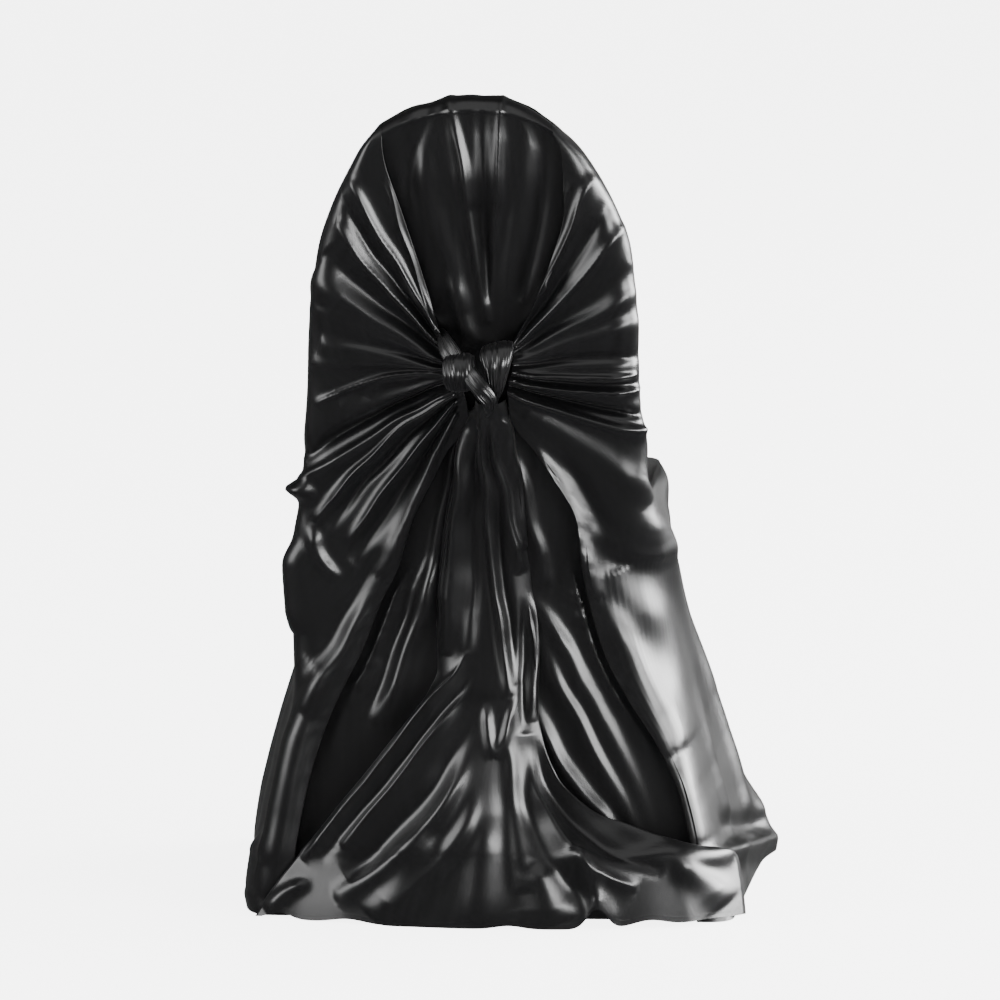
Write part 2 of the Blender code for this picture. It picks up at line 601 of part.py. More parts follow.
def back_share(grid, normal):
    """1 where a sheet faces the viewer, falling to 0 round its sides."""
    return np.clip((FACING_START - normal[..., 1]) / FACING_RUN, 0, 1)


def build_wrap():
    """The sheet that wraps the seat side and both sides and ends in two wings at the back."""
    grid = wrap_base()
    normal = normals_of(grid)
    facing = back_share(grid, normal)
    x, y, z = grid[..., 0], grid[..., 1], grid[..., 2]
    height = (fold_height(x, z, WRAP_FOLDS) + knot_rise(x, z)) * facing
    height += fold_height(y, z, LEFT_SIDE_FOLDS) * np.clip(-normal[..., 0], 0, 1)
    height += fold_height(y, z, RIGHT_SIDE_FOLDS) * np.clip(normal[..., 0], 0, 1)
    return cloth_sheet("cover_body", grid, height, satin("wrap satin"))


def build_panel():
    """The hood's back, from the seam on the crest to the floor."""
    grid = panel_base()
    x, z = grid[..., 0], grid[..., 2]
    side = np.abs(np.linspace(-1, 1, PANEL_COLUMNS))
    visible = np.clip((PANEL_VISIBLE - side) / PANEL_FADE, 0, 1)
    below_crest = np.clip(np.linspace(0, 1, len(grid)) / CREST_FADE, 0, 1)[:, None]
    height = fold_height(x, z, PANEL_FOLDS) * visible * below_crest
    return cloth_sheet("back_panel", grid, height, satin("panel satin"))


def build_tail():
    """The gathered tail below the knot with its two swags."""
    grid = tail_base()
    x, z = grid[..., 0], grid[..., 2]
    height = fold_height(x, z, TAIL_FOLDS)
    return cloth_sheet("sash_tail", grid, height, satin("tail satin"))


def stand_on_origin(things):
    """Moves every piece so that the middle of the cover's foot is the origin."""
    corners = np.array([vertex.co for thing in things for vertex in thing.data.vertices])
    low, high = corners.min(axis=0), corners.max(axis=0)
    for thing in things:
        thing.location = (-(low[0] + high[0]) / 2, -(low[1] + high[1]) / 2, -low[2])


def main():
    """Clears the scene and builds every piece of the cover."""
    for thing in list(bpy.data.objects):
        bpy.data.objects.remove(thing, do_unlink=True)
    things = [build_wrap(), build_panel(), build_tail()]
    for turn in KNOT_ROLLS:
        things.append(roll(turn, satin(turn.name + " satin")))
    stand_on_origin(things)


main()
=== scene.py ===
"""Satin cloth, fine folds and setting for a fitted chair cover with a tied sash.

The tables hold millimetres in the cover's drawing frame: +X is to the right as seen from behind, +Y
goes towards the seat side and +Z is up. FRAME_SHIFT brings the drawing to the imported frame, in metres.
"""

import logging
import math
from dataclasses import dataclass, field
from enum import Enum
from typing import NamedTuple

import bpy
import numpy as np
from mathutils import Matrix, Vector


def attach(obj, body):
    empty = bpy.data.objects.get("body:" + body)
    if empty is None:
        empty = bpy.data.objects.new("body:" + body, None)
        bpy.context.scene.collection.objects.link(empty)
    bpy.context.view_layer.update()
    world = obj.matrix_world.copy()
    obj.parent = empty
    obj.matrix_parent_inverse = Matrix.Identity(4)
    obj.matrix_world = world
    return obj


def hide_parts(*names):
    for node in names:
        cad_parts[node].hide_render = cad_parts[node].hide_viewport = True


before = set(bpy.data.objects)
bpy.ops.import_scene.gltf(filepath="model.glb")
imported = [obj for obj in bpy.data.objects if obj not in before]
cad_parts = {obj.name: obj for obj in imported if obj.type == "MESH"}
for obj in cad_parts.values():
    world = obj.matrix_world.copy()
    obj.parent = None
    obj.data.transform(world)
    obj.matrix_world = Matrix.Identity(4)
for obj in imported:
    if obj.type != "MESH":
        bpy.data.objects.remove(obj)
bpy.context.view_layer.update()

log = logging.getLogger("cover")
MM = 0.001
FRAME_SHIFT = np.array([-8.808, -166.869, 0.0]) * MM
BODY = "root"

# Knot: its middle on the back, and how the sheets rise towards it
KNOT_X = 12 * MM
KNOT_Z = 628 * MM
KNOT_RISE = 15.8 * MM
KNOT_REACH = 58 * MM

# Above this height the flat of the back stands as far out as the shoulder does
SHOULDER_Z = 868 * MM

# How much of their height the folds of the hood's back keep on its crest
CREST_SHARE = 0.3


class Section(NamedTuple):
    """A level section of the wrap in millimetres: its height at the sides, at the crown and on the seat
    side, how far it turns to the knot, and its outline."""

    name: str
    side_z: float
    crown: float
    fan: float
    front_z: float
    back_y: float
    front_y: float
    left: float
    right: float
    front_left: float
    front_right: float


SECTIONS = [
    Section("crest", 915, 32, 0, 915, -42, -40, -98, 97, -98, 97),
    Section("crest round", 913, 32, 0, 913, -49, -32, -101, 101, -101, 101),
    Section("crest bend", 908, 34, 0, 908, -55, -25, -105, 106, -105, 106),
    Section("crest foot", 899, 38, 0.01, 899, -60, -17, -113, 115, -112, 114),
    Section("crest side", 886, 47, 0.06, 886, -63, -9, -123, 128, -122, 127),
    Section("shoulder", 868, 60, 0.15, 868, -64, -4, -133, 141, -132, 140),
    Section("upper back", 820, 68, 0.4, 820, -60, 6, -157, 168, -155, 166),
    Section("chest", 771, 58, 0.6, 771, -54, 14, -174, 186, -170, 182),
    Section("ribs", 718, 40, 0.72, 718, -46, 22, -182, 192, -178, 186),
    Section("above knot", 664, 20, 0.8, 664, -38, 30, -188, 195, -182, 188),
    Section("waist", 612, 8, 0.8, 605, -31, 38, -190, 194, -184, 190),
    Section("below knot", 562, 2, 0.8, 535, -25, 46, -194, 203, -186, 192),
    Section("seat rear", 512, 0, 0.76, 480, -19, 66, -197, 206, -188, 190),
    Section("seat middle", 470, 0, 0.66, 475, -14, 235, -201, 212, -186, 188),
    Section("seat front", 432, 0, 0.5, 470, -11, 392, -208, 226, -183, 185),
    Section("seat edge", 396, 0, 0.36, 436, -9, 424, -213, 234, -184, 188),
    Section("skirt top", 330, 0, 0.2, 352, -10, 430, -208, 239, -203, 203),
    Section("skirt", 240, 0, 0.08, 244, -16, 434, -204, 250, -232, 230),
    Section("skirt middle", 150, 0, 0, 152, -25, 437, -215, 266, -262, 262),
    Section("skirt low", 66, 0, 0, 68, -35, 440, -232, 284, -284, 290),
    Section("hem band", 16, 0, 0, 17, -41, 441, -243, 298, -295, 308),
    Section("hem", 0, 0, 0, 0, -43, 441, -246, 302, -298, 312),
]


class Span(NamedTuple):
    """Where two free edges run at a height, how far out the cloth between them stands, and how far out
    its edges stand. A negative edge lies behind the flat of the back."""

    z: float
    left: float
    right: float
    lift: float = 0
    edge: float = 10


OPENING = [
    Span(946, -97, 96),
    Span(918, -97, 96),
    Span(885, -95, 108),
    Span(823, -76, 111),
    Span(753, -54, 92),
    Span(692, -36, 66),
    Span(664, -27, 52),
    Span(640, -27, 51),
    Span(612, -6, 45),
    Span(580, 0, 46),
    Span(560, -6, 56),
    Span(539, -24, 74),
    Span(506, -41, 97),
    Span(456, -66, 122),
    Span(397, -84, 129),
    Span(361, -102, 136),
    Span(302, -125, 154),
    Span(250, -151, 182),
    Span(203, -170, 213),
    Span(146, -186, 240),
    Span(80, -198, 255),
    Span(0, -206, 262),
]

TAIL_SPANS = [
    Span(599, 8, 42, 47, 4),
    Span(576, 3, 47, 30, -4),
    Span(545, -6, 51, 20, -6),
    Span(510, -16, 54, 14, -6),
    Span(450, -28, 60, 11, -6),
    Span(390, -34, 68, 12, -6),
    Span(325, -38, 74, 15, -5),
    Span(284, -38, 76, 20, -2),
    Span(262, -46, 77, 25, 4),
    Span(240, -60, 78, 30, 8),
    Span(206, -87, 83, 37, 10),
    Span(166, -118, 98, 45, 10),
    Span(126, -151, 138, 51, 10),
    Span(104, -168, 184, 54, 10),
    Span(88, -181, 232, 56, 10),
    Span(78, -190, 284, 57, 8),
    Span(66, -198, 303, 58, 6),
    Span(40, -216, 309, 60, 6),
    Span(16, -234, 313, 62, 6),
    Span(0, -244, 315, 63, 6),
]


class Corner(NamedTuple):
    """How far the right back corner is rounded at a height, along the back and along the side, in mm."""

    z: float
    back: float
    side: float


RIGHT_CORNER = [
    Corner(950, 34, 34),
    Corner(520, 36, 44),
    Corner(462, 48, 76),
    Corner(425, 66, 112),
    Corner(392, 104, 158),
    Corner(330, 114, 184),
    Corner(240, 96, 196),
    Corner(150, 74, 186),
    Corner(92, 50, 112),
    Corner(44, 34, 36),
    Corner(0, 34, 34),
]


class Profile(Enum):
    """Cross-section of a fold: a round ridge, or a crease with a pinched crest."""

    ROUND = "round"
    PINCHED = "pinched"


class Fold(NamedTuple):
    """A fold from a start past a bend to an end on the back, in millimetres, with its half widths and
    its height. A negative height is a trough. lean makes the side above the fold steeper, from 0 to 1."""

    name: str
    x0: float
    z0: float
    x1: float
    z1: float
    x2: float
    z2: float
    width0: float
    width2: float
    height: float
    lean: float
    profile: Profile = Profile.ROUND


PINCHED = Profile.PINCHED
WRAP_FOLDS = [
    Fold("left edge ridge", -28, 664, -60, 740, -90, 852, 2.6, 5, 4, 0.0, PINCHED),
    Fold("left chest fan", -24, 646, -92, 662, -184, 704, 3, 12, 4, 0.2),
    Fold("left wing pull", -22, 636, -88, 640, -184, 636, 2.6, 9, 4, -0.2),
    Fold("right edge ridge", 48, 660, 88, 742, 116, 850, 2.6, 5, 4, 0.0, PINCHED),
    Fold("right wing fan", 46, 652, 128, 684, 192, 724, 3, 9, 4, 0.1),
    Fold("left skirt streak", -150, 330, -196, 220, -232, 60, 10, 16, 5, 0.0),
    Fold("right skirt streak", 214, 330, 246, 220, 268, 90, 12, 18, 4, 0.0),
    Fold("left shoulder upper", -18, 662, -84, 755, -132, 852, 2.88, 9, 8, 0.2, PINCHED),
    Fold("left shoulder trough", -19, 656, -94, 738, -142, 832, 2.88, 6, -4, 0.0),
    Fold("left shoulder lower", -19, 652, -106, 733, -150, 806, 2.88, 9, 8, -0.2, PINCHED),
    Fold("left chest trough", -20, 648, -110, 706, -160, 770, 3.6, 13, -4, 0.0),
    Fold("left chest", -20, 644, -104, 682, -178, 742, 3.6, 19, 9, 0.2),
    Fold("left rib", -20, 635, -92, 648, -170, 662, 2.88, 12, 6, 0.3),
    Fold("left rim", -20, 629, -118, 634, -176, 590, 2.6, 5, 6, 0.3, PINCHED),
    Fold("left lens", -20, 622, -90, 612, -150, 600, 3.6, 12, -5, 0.0),
    Fold("left buckle", -60, 622, -112, 620, -120, 600, 5, 8, 3, 0.3),
    Fold("left gap", -16, 618, -92, 590, -192, 526, 2.88, 9, -10, -0.2),
    Fold("left waist edge", -15, 612, -86, 574, -192, 502, 2.88, 9, 10, 0.5),
    Fold("left sweep upper", -17, 606, -118, 548, -176, 452, 2.88, 9, 9, 0.3, PINCHED),
    Fold("left sweep trough", -16, 602, -106, 524, -162, 444, 2.88, 8, -5, 0.0),
    Fold("left sweep middle", -16, 597, -86, 510, -140, 428, 2.88, 9, 8, 0.2, PINCHED),
    Fold("left sweep hook", -172, 448, -196, 420, -150, 384, 9, 7, 6, 0.0),
    Fold("left sweep deep", -15, 591, -76, 486, -138, 404, 2.88, 11, -6, 0.0),
    Fold("left flap", -15, 583, -64, 482, -100, 388, 3.6, 11, 7, 0.0),
    Fold("left drop trough", -96, 428, -140, 352, -178, 286, 9, 16, -5, 0.0),
    Fold("left drop", -112, 374, -150, 304, -188, 232, 9, 14, 7, 0.1),
    Fold("left side bulge", -207, 435, -217, 384, -207, 319, 18, 20, 8, 0.0),
    Fold("left side tip", -172, 493, -196, 487, -226, 482, 12, 9, 16, 0.0),
    Fold("left skirt", -198, 262, -220, 158, -238, 22, 17, 26, 7, 0.0),
    Fold("right shoulder upper", 42, 661, 98, 742, 143, 858, 2.88, 9, 8, 0.2, PINCHED),
    Fold("right shoulder trough", 42, 656, 108, 728, 160, 828, 2.88, 8, -4, 0.0),
    Fold("right shoulder lower", 42, 653, 117, 716, 176, 800, 2.88, 10, 7, -0.2, PINCHED),
    Fold("right chest trough", 43, 649, 122, 697, 186, 752, 3.6, 13, -4, 0.0),
    Fold("right chest", 43, 645, 124, 668, 194, 692, 3.6, 14, 6, 0.2),
    Fold("right side gap", 43, 640, 126, 648, 196, 652, 2.88, 8, -5, 0.0),
    Fold("right rim", 43, 635, 122, 622, 190, 629, 2.6, 5, 7, 0.4, PINCHED),
    Fold("right rim trough", 43, 630, 126, 612, 194, 618, 2.6, 5, -5, 0.0),
    Fold("right second rim", 43, 625, 132, 603, 198, 610, 2.6, 5, 6, 0.4, PINCHED),
    Fold("right gap", 43, 616, 128, 588, 202, 579, 2.88, 5, -8, -0.2),
    Fold("right waist edge", 43, 612, 124, 578, 206, 561, 2.88, 7, 10, 0.5),
    Fold("right panel fold", 72, 580, 138, 543, 208, 482, 11, 19, 5, 0.0),
    Fold("right sweep", 72, 552, 112, 482, 142, 366, 6, 11, 8, 0.2),
    Fold("right sweep trough", 88, 552, 140, 490, 170, 400, 9, 17, -6, 0.0),
    Fold("right reflection edge", 136, 450, 178, 412, 236, 408, 11, 11, 5, 0.0),
    Fold("right drape upper", 146, 376, 186, 288, 238, 190, 12, 17, 7, 0.2),
    Fold("right drape lower", 164, 412, 222, 308, 282, 158, 17, 24, 5, 0.0),
    Fold("right drape trough", 192, 352, 236, 262, 284, 132, 14, 18, -5, 0.0),
    Fold("right side corner", 212, 548, 222, 458, 239, 394, 14, 17, 5, 0.0),
    Fold("right skirt", 252, 342, 281, 227, 308, 42, 18, 26, 6, 0.0),
]
PANEL_FOLDS = [
    Fold("crest apex", 16, 958, 15, 910, 14, 820, 52, 30, 7, 0.0),
    Fold("crest ridge left", -22, 952, -1, 850, 22, 686, 7, 6, 9, 0.3),
    Fold("crest ridge right", 37, 952, 43, 885, 29, 769, 5, 5, 8, 0.3, PINCHED),
    Fold("spine trough", 17, 952, 19, 827, 22, 712, 9, 6, -7, 0.0),
    Fold("left plane", -67, 936, -45, 839, -3, 700, 16, 10, 6, 0.0),
    Fold("left trough", -42, 940, -67, 873, -72, 821, 8, 9, -7, 0.0),
    Fold("right plane", 72, 932, 65, 838, 42, 711, 14, 9, 5, 0.0),
    Fold("right trough", 90, 926, 93, 827, 61, 711, 9, 7, -6, 0.0),
    Fold("above knot", -22, 748, -8, 706, 6, 660, 10, 10, 6, 0.0),
    Fold("left of tail", -12, 560, -34, 470, -52, 330, 5, 10, 7, 0.0),
    Fold("right of tail", 52, 540, 66, 470, 84, 380, 5, 9, 6, 0.0),
    Fold("fan left", -36, 420, -62, 328, -104, 216, 12, 16, 12, 0.0),
    Fold("fan left trough", -60, 400, -92, 300, -128, 210, 8, 10, -6, 0.0),
    Fold("fan left edge", -74, 404, -112, 296, -152, 190, 8, 12, 8, 0.0),
    Fold("fan right first", 61, 375, 129, 287, 221, 93, 10, 11, 8, 0.2),
    Fold("fan right second", 67, 340, 125, 215, 200, 93, 9, 11, 7, 0.2),
    Fold("fan right third", 102, 412, 154, 296, 230, 158, 10, 12, 7, 0.0),
    Fold("fan right fourth", 67, 262, 93, 167, 175, 93, 8, 11, 7, 0.0),
]
TAIL_FOLDS = [
    Fold("left spine", 5, 585, -14, 463, -27, 303, 4, 8, 9, 0.2),
    Fold("right spine", 17, 585, 17, 451, 46, 259, 4, 7, 8, 0.2),
    Fold("cheek", 25, 575, 40, 474, 58, 397, 4, 5, 7, 0.0),
    Fold("arm", 40, 575, 52, 519, 61, 422, 4, 6, 6, 0.0),
    Fold("left valley", 10, 564, 2, 440, 1, 303, 5, 9, -6, 0.0),
    Fold("left flank", -2, 560, -24, 450, -34, 318, 4, 7, 5, 0.0, PINCHED),
    Fold("low centre fold", 40, 236, 58, 150, 66, 40, 5, 12, 5, 0.0),
    Fold("right flank trough", 60, 372, 66, 300, 66, 214, 5, 8, -7, 0.0),
    Fold("right flank", 70, 380, 74, 300, 74, 226, 3, 6, 5, 0.0),
    Fold("right valley", 33, 519, 34, 395, 56, 271, 4, 8, -5, 0.0),
    Fold("cup left", 20, 256, 20, 216, 31, 190, 5, 6, 4, 0.0),
    Fold("cup right", 50, 260, 46, 212, 32, 190, 5, 6, 4, 0.0),
    Fold("left swag rim", 6, 312, -66, 208, -192, 66, 5, 8, 11, 0.5, PINCHED),
    Fold("left swag rim trough", 8, 292, -54, 198, -172, 66, 5, 7, -5, 0.0),
    Fold("left swag inner", 0, 270, -52, 186, -146, 84, 6, 10, 9, 0.3, PINCHED),
    Fold("left swag trough", 8, 236, -38, 138, -140, 52, 9, 14, -8, 0.0),
    Fold("left swag lower", 6, 200, -30, 96, -152, 26, 8, 12, 9, 0.2),
    Fold("left swag foot", 16, 160, -8, 74, -84, 12, 8, 14, 6, 0.0),
    Fold("left corner tuck", -176, 40, -206, 36, -232, 8, 6, 10, 6, 0.0),
    Fold("right swag rim", 74, 242, 104, 104, 300, 72, 8, 10, 11, 0.3),
    Fold("right swag rim trough", 70, 214, 96, 92, 226, 64, 6, 8, -6, 0.0),
    Fold("right swag inner", 66, 204, 84, 84, 196, 44, 7, 11, 9, 0.2, PINCHED),
    Fold("right swag trough", 62, 170, 84, 66, 150, 30, 10, 14, -7, 0.0),
    Fold("right swag wave", 118, 96, 146, 74, 158, 10, 10, 12, 8, 0.0),
    Fold("right corner facet", 232, 74, 262, 64, 292, 20, 9, 14, 7, 0.2),
    Fold("low ridge", 27, 130, 19, 80, 14, 6, 12, 16, 4, 0.0),
    Fold("low left", -34, 110, -64, 60, -104, 6, 18, 22, 9, 0.0),
    Fold("low right", 80, 78, 90, 46, 104, 6, 18, 22, 7, 0.0),
    Fold("low pit", 50, 176, 54, 100, 60, 20, 16, 22, -5, 0.0),
]
LEFT_SIDE_FOLDS = [
    Fold("left hem flare", 14, 96, 10, 44, 8, -8, 24, 40, 15, 0.0),
    Fold("left pull upper", 30, 556, 150, 500, 336, 462, 24, 30, 7, 0.0),
    Fold("left pull lower", 30, 486, 150, 412, 330, 226, 28, 34, 6, 0.0),
    Fold("left flute front", 372, 330, 384, 180, 396, 4, 28, 34, 7, 0.0),
    Fold("left flute back", 96, 300, 86, 160, 78, 4, 30, 36, 8, 0.0),
]
RIGHT_SIDE_FOLDS = [
    Fold("far right flare", 360, 70, 430, 24, 520, -40, 34, 46, 15, 0.0),
    Fold("right pull upper", 30, 540, 160, 486, 340, 452, 26, 30, 7, 0.0),
    Fold("right pull lower", 40, 452, 140, 380, 280, 190, 30, 36, 7, 0.0),
    Fold("right flute front", 356, 320, 362, 170, 350, 4, 30, 36, 8, 0.0),
    Fold("right flute back", 150, 250, 160, 130, 168, 4, 30, 36, 6, 0.0),
    Fold("swag round the corner", -30, 78, 180, 46, 440, 8, 10, 12, 12, 0.4),
    Fold("swag trough", 40, 96, 220, 62, 430, 30, 12, 12, -6, 0.0),
]


class HemLift(NamedTuple):
    """A place where the near hem leaves the floor, in millimetres."""

    x: float
    lift: float
    reach: float


HEM_LIFTS = [
    HemLift(-214, 7, 16),
    HemLift(-134, 5, 26),
    HemLift(52, 4, 22),
    HemLift(152, 24, 15),
    HemLift(212, 9, 28),
    HemLift(276, 7, 34),
]
HEM_LIFT_TOP = 90 * MM


class Station(NamedTuple):
    """A place that the middle of a knot's band passes, in millimetres, with its half width and half depth."""

    x: float
    z: float
    y: float
    half: float
    thick: float


class Band(NamedTuple):
    """A band of the knot: its node, the lean of its width from level in degrees, its pleats and places."""

    node: str
    lean: float
    pleats: float
    pleat_depth: float
    stations: list


KNOT_BANDS = [
    Band("knot_left_band", 40, 2, 0.8, [
        Station(-33, 678, -36, 7, 3),
        Station(-26, 668, -52, 9, 4),
        Station(-18, 656, -64, 11, 5),
        Station(-10, 645, -70, 10, 5),
        Station(-4, 634, -66, 6, 4),
    ]),
    Band("knot_wrap", 4, 5, 2.2, [
        Station(-7, 650, -48, 15, 5),
        Station(-7, 650, -68, 18, 7),
        Station(-7, 644, -80, 19, 7),
        Station(-6, 633, -84, 19, 7),
        Station(-5, 622, -78, 18, 7),
        Station(-5, 618, -64, 16, 6),
        Station(-4, 620, -48, 13, 5),
    ]),
    Band("knot_right_fan", 13, 5, 2.6, [
        Station(35, 660, -44, 17, 4),
        Station(35, 663, -60, 20, 6),
        Station(35, 658, -74, 20, 7),
        Station(36, 642, -82, 15, 8),
        Station(36, 624, -82, 10, 8),
        Station(33, 608, -76, 6, 6),
        Station(32, 598, -64, 4, 4),
    ]),
    Band("knot_cross_band", 48, 3, 1.3, [
        Station(2, 644, -62, 7, 4),
        Station(5, 638, -82, 9, 5),
        Station(12, 628, -92, 10, 5),
        Station(21, 617, -96, 10, 5),
        Station(28, 606, -92, 9, 5),
        Station(28, 595, -84, 6, 4),
        Station(24, 586, -76, 3, 3),
    ]),
]


def column(table: list, name: str) -> np.ndarray:
    """One named column of a table, in metres, or as it is for the share that a section turns."""
    values = np.array([getattr(row, name) for row in table], float)
    return values if name == "fan" else values * MM


def smooth_through(at: np.ndarray, knots: np.ndarray, values: np.ndarray) -> np.ndarray:
    """Values on a curve that passes through every knot and never overshoots.

    Args:
        at: Places to read.
        knots: Rising places of the knots.
        values: What the curve is at each knot.

    Returns:
        The curve's values at the places.
    """
    at = np.clip(at, knots[0], knots[-1])
    step = np.diff(knots)
    slope = np.diff(values) / step
    tangent = np.zeros(len(knots))
    same_way = slope[:-1] * slope[1:] > 0
    inner = np.zeros(len(slope) - 1)
    inner[same_way] = 2 * slope[:-1][same_way] * slope[1:][same_way] / (slope[:-1] + slope[1:])[same_way]
    tangent[1:-1] = inner
    tangent[0], tangent[-1] = slope[0], slope[-1]
    piece = np.clip(np.searchsorted(knots, at, side="right") - 1, 0, len(step) - 1)
    t = (at - knots[piece]) / step[piece]
    out, into = tangent[piece] * step[piece], tangent[piece + 1] * step[piece]
    rise = t * t * (3 - 2 * t)
    start, end = values[piece], values[piece + 1]
    return start + rise * (end - start) + t * (1 - t) ** 2 * out - t * t * (1 - t) * into


def wall_y(z: np.ndarray) -> np.ndarray:
    """How far out the flat of the back stands at a height, which no longer changes above the shoulder."""
    heights = column(SECTIONS, "side_z")[::-1]
    return smooth_through(np.minimum(z, SHOULDER_Z), heights, column(SECTIONS, "back_y")[::-1])


def smooth_step(value: np.ndarray) -> np.ndarray:
    """0 to 1 with soft ends, for a value that runs from 0 to 1."""
    value = np.clip(value, 0, 1)
    return value * value * (3 - 2 * value)


@dataclass(frozen=True)
class SoftNoise:
    """Smooth seeded noise on a plane, from -1 to 1."""

    seed: int
    cells: int = 64

    def at(self, u: np.ndarray, v: np.ndarray) -> np.ndarray:
        """Noise at places given in cells.

        Args:
            u: Place along the first side.
            v: Place along the second side.

        Returns:
            The noise there.
        """
        lattice = np.random.default_rng(self.seed).uniform(-1, 1, (self.cells, self.cells))
        low_u, low_v = np.floor(u).astype(int), np.floor(v).astype(int)
        fu, fv = smooth_step(u - low_u), smooth_step(v - low_v)
        a = lattice[low_u % self.cells, low_v % self.cells]
        b = lattice[(low_u + 1) % self.cells, low_v % self.cells]
        c = lattice[low_u % self.cells, (low_v + 1) % self.cells]
        d = lattice[(low_u + 1) % self.cells, (low_v + 1) % self.cells]
        return (a * (1 - fu) + b * fu) * (1 - fv) + (c * (1 - fu) + d * fu) * fv


@dataclass(frozen=True)
class FoldField:
    """Height of the cloth over its base surface, from a table of folds."""

    folds: list
    points: int = 24
    reach: float = 3.4
    start_height: float = 0.65
    growth: float = 4
    soft_growth: float = 3
    fade: float = 5
    pinch_round: float = 0.2
    pinch_fall: float = 1.5
    drift: float = 2.4 * MM
    drift_size: float = 38 * MM
    knot_reach: float = 90 * MM
    crest_level: float = 900 * MM

    def height(self, x: np.ndarray, z: np.ndarray) -> np.ndarray:
        """Adds up every fold.

        Args:
            x: First coordinate of the places.
            z: Second coordinate of the places.

        Returns:
            The height at each place, in metres.
        """
        u, v = x / self.drift_size, z / self.drift_size
        x = x + self.drift * SoftNoise(21).at(u, v)
        z = z + self.drift * SoftNoise(22).at(u, v)
        return sum(self._one(fold, x, z) for fold in self.folds)

    def _one(self, fold: Fold, x: np.ndarray, z: np.ndarray) -> np.ndarray:
        """Height that one fold gives, worked out only near its curve."""
        places = ((fold.x0, fold.z0), (fold.x1, fold.z1), (fold.x2, fold.z2))
        start, bend, end = (np.array(place) * MM for place in places)
        t = np.linspace(0, 1, self.points + 1)[:, None]
        curve = (1 - t) ** 2 * start + 2 * t * (1 - t) * bend + t * t * end
        margin = self.reach * max(fold.width0, fold.width2) * MM
        low, high = curve.min(axis=0) - margin, curve.max(axis=0) + margin
        near = (x > low[0]) & (x < high[0]) & (z > low[1]) & (z < high[1])
        px, pz = x[near], z[near]
        best = np.full(px.shape, np.inf)
        along = np.zeros(px.shape)
        side = np.zeros(px.shape)
        for index, ((ax, az), (bx, bz)) in enumerate(zip(curve, curve[1:])):
            rx, rz = bx - ax, bz - az
            share = np.clip(((px - ax) * rx + (pz - az) * rz) / (rx * rx + rz * rz), 0, 1)
            dx, dz = px - ax - share * rx, pz - az - share * rz
            distance = np.hypot(dx, dz)
            closer = distance < best
            best = np.where(closer, distance, best)
            along = np.where(closer, (index + share) / self.points, along)
            side = np.where(closer, dz / np.maximum(distance, 1e-9), side)
        width = (fold.width0 + (fold.width2 - fold.width0) * along) * MM * (1 - fold.lean * side)
        full_start = np.hypot(*(start - (KNOT_X, KNOT_Z))) < self.knot_reach or start[1] > self.crest_level
        grown = smooth_step(self.soft_growth * along)
        if full_start:
            grown = np.clip(self.start_height + self.growth * along, 0, 1)
        fading = np.sqrt(np.clip(self.fade * (1 - along), 0, 1))
        if fold.profile is Profile.PINCHED:
            off_crest = np.sqrt((best / width) ** 2 + self.pinch_round**2) - self.pinch_round
            shape = np.exp(-off_crest * self.pinch_fall)
        else:
            shape = np.exp(-((best / width) ** 2))
        total = np.zeros(x.shape)
        total[near] = fold.height * MM * grown * fading * shape
        return total


@dataclass
class ClothGrid:
    """A sheet as rows of points with folds on it, ready to become a mesh."""

    base: np.ndarray
    normal: np.ndarray = field(init=False)

    def __post_init__(self) -> None:
        """Works out the unit normals, away from the hollow inside."""
        normal = np.cross(np.gradient(self.base, axis=0), np.gradient(self.base, axis=1))
        self.normal = normal / np.maximum(np.linalg.norm(normal, axis=2, keepdims=True), 1e-12)

    def raised(self, height: np.ndarray) -> np.ndarray:
        """Points of the sheet with a height along its normals, none below the floor."""
        points = self.base + self.normal * height[..., None]
        points[-1, :, 2] = self.base[-1, :, 2]
        points[..., 2] = np.maximum(points[..., 2], 0)
        return points

    def facing(self, start: float = 0.25, run: float = 0.6) -> np.ndarray:
        """1 where the sheet faces the back's viewer, falling to 0 round its sides."""
        return np.clip((start - self.normal[..., 1]) / run, 0, 1)


def cloth_lengths(points: np.ndarray) -> tuple[np.ndarray, np.ndarray]:
    """Lengths along the cloth, from the start of each row and from the start of each column."""
    across = np.linalg.norm(np.diff(points, axis=1, prepend=points[:, :1]), axis=2).cumsum(axis=1)
    down = np.linalg.norm(np.diff(points, axis=0, prepend=points[:1]), axis=2).cumsum(axis=0)
    return across, down


def puckers(distance: np.ndarray, along: np.ndarray, seed: int) -> np.ndarray:
    """Small gathers across an elastic edge, from 0 to 1, which fade out away from it.

    Args:
        distance: How far each place is from the edge.
        along: How far along the edge it is.
        seed: Seed of their pattern.

    Returns:
        Their share of the full height.
    """
    wave = SoftNoise(seed).at(along / (6.5 * MM), distance / (26 * MM))
    size = 0.6 + 0.4 * SoftNoise(seed + 1).at(along / (30 * MM), distance / (40 * MM))
    return (1 - np.abs(wave)) ** 2 * size * np.exp(-distance / (10 * MM))


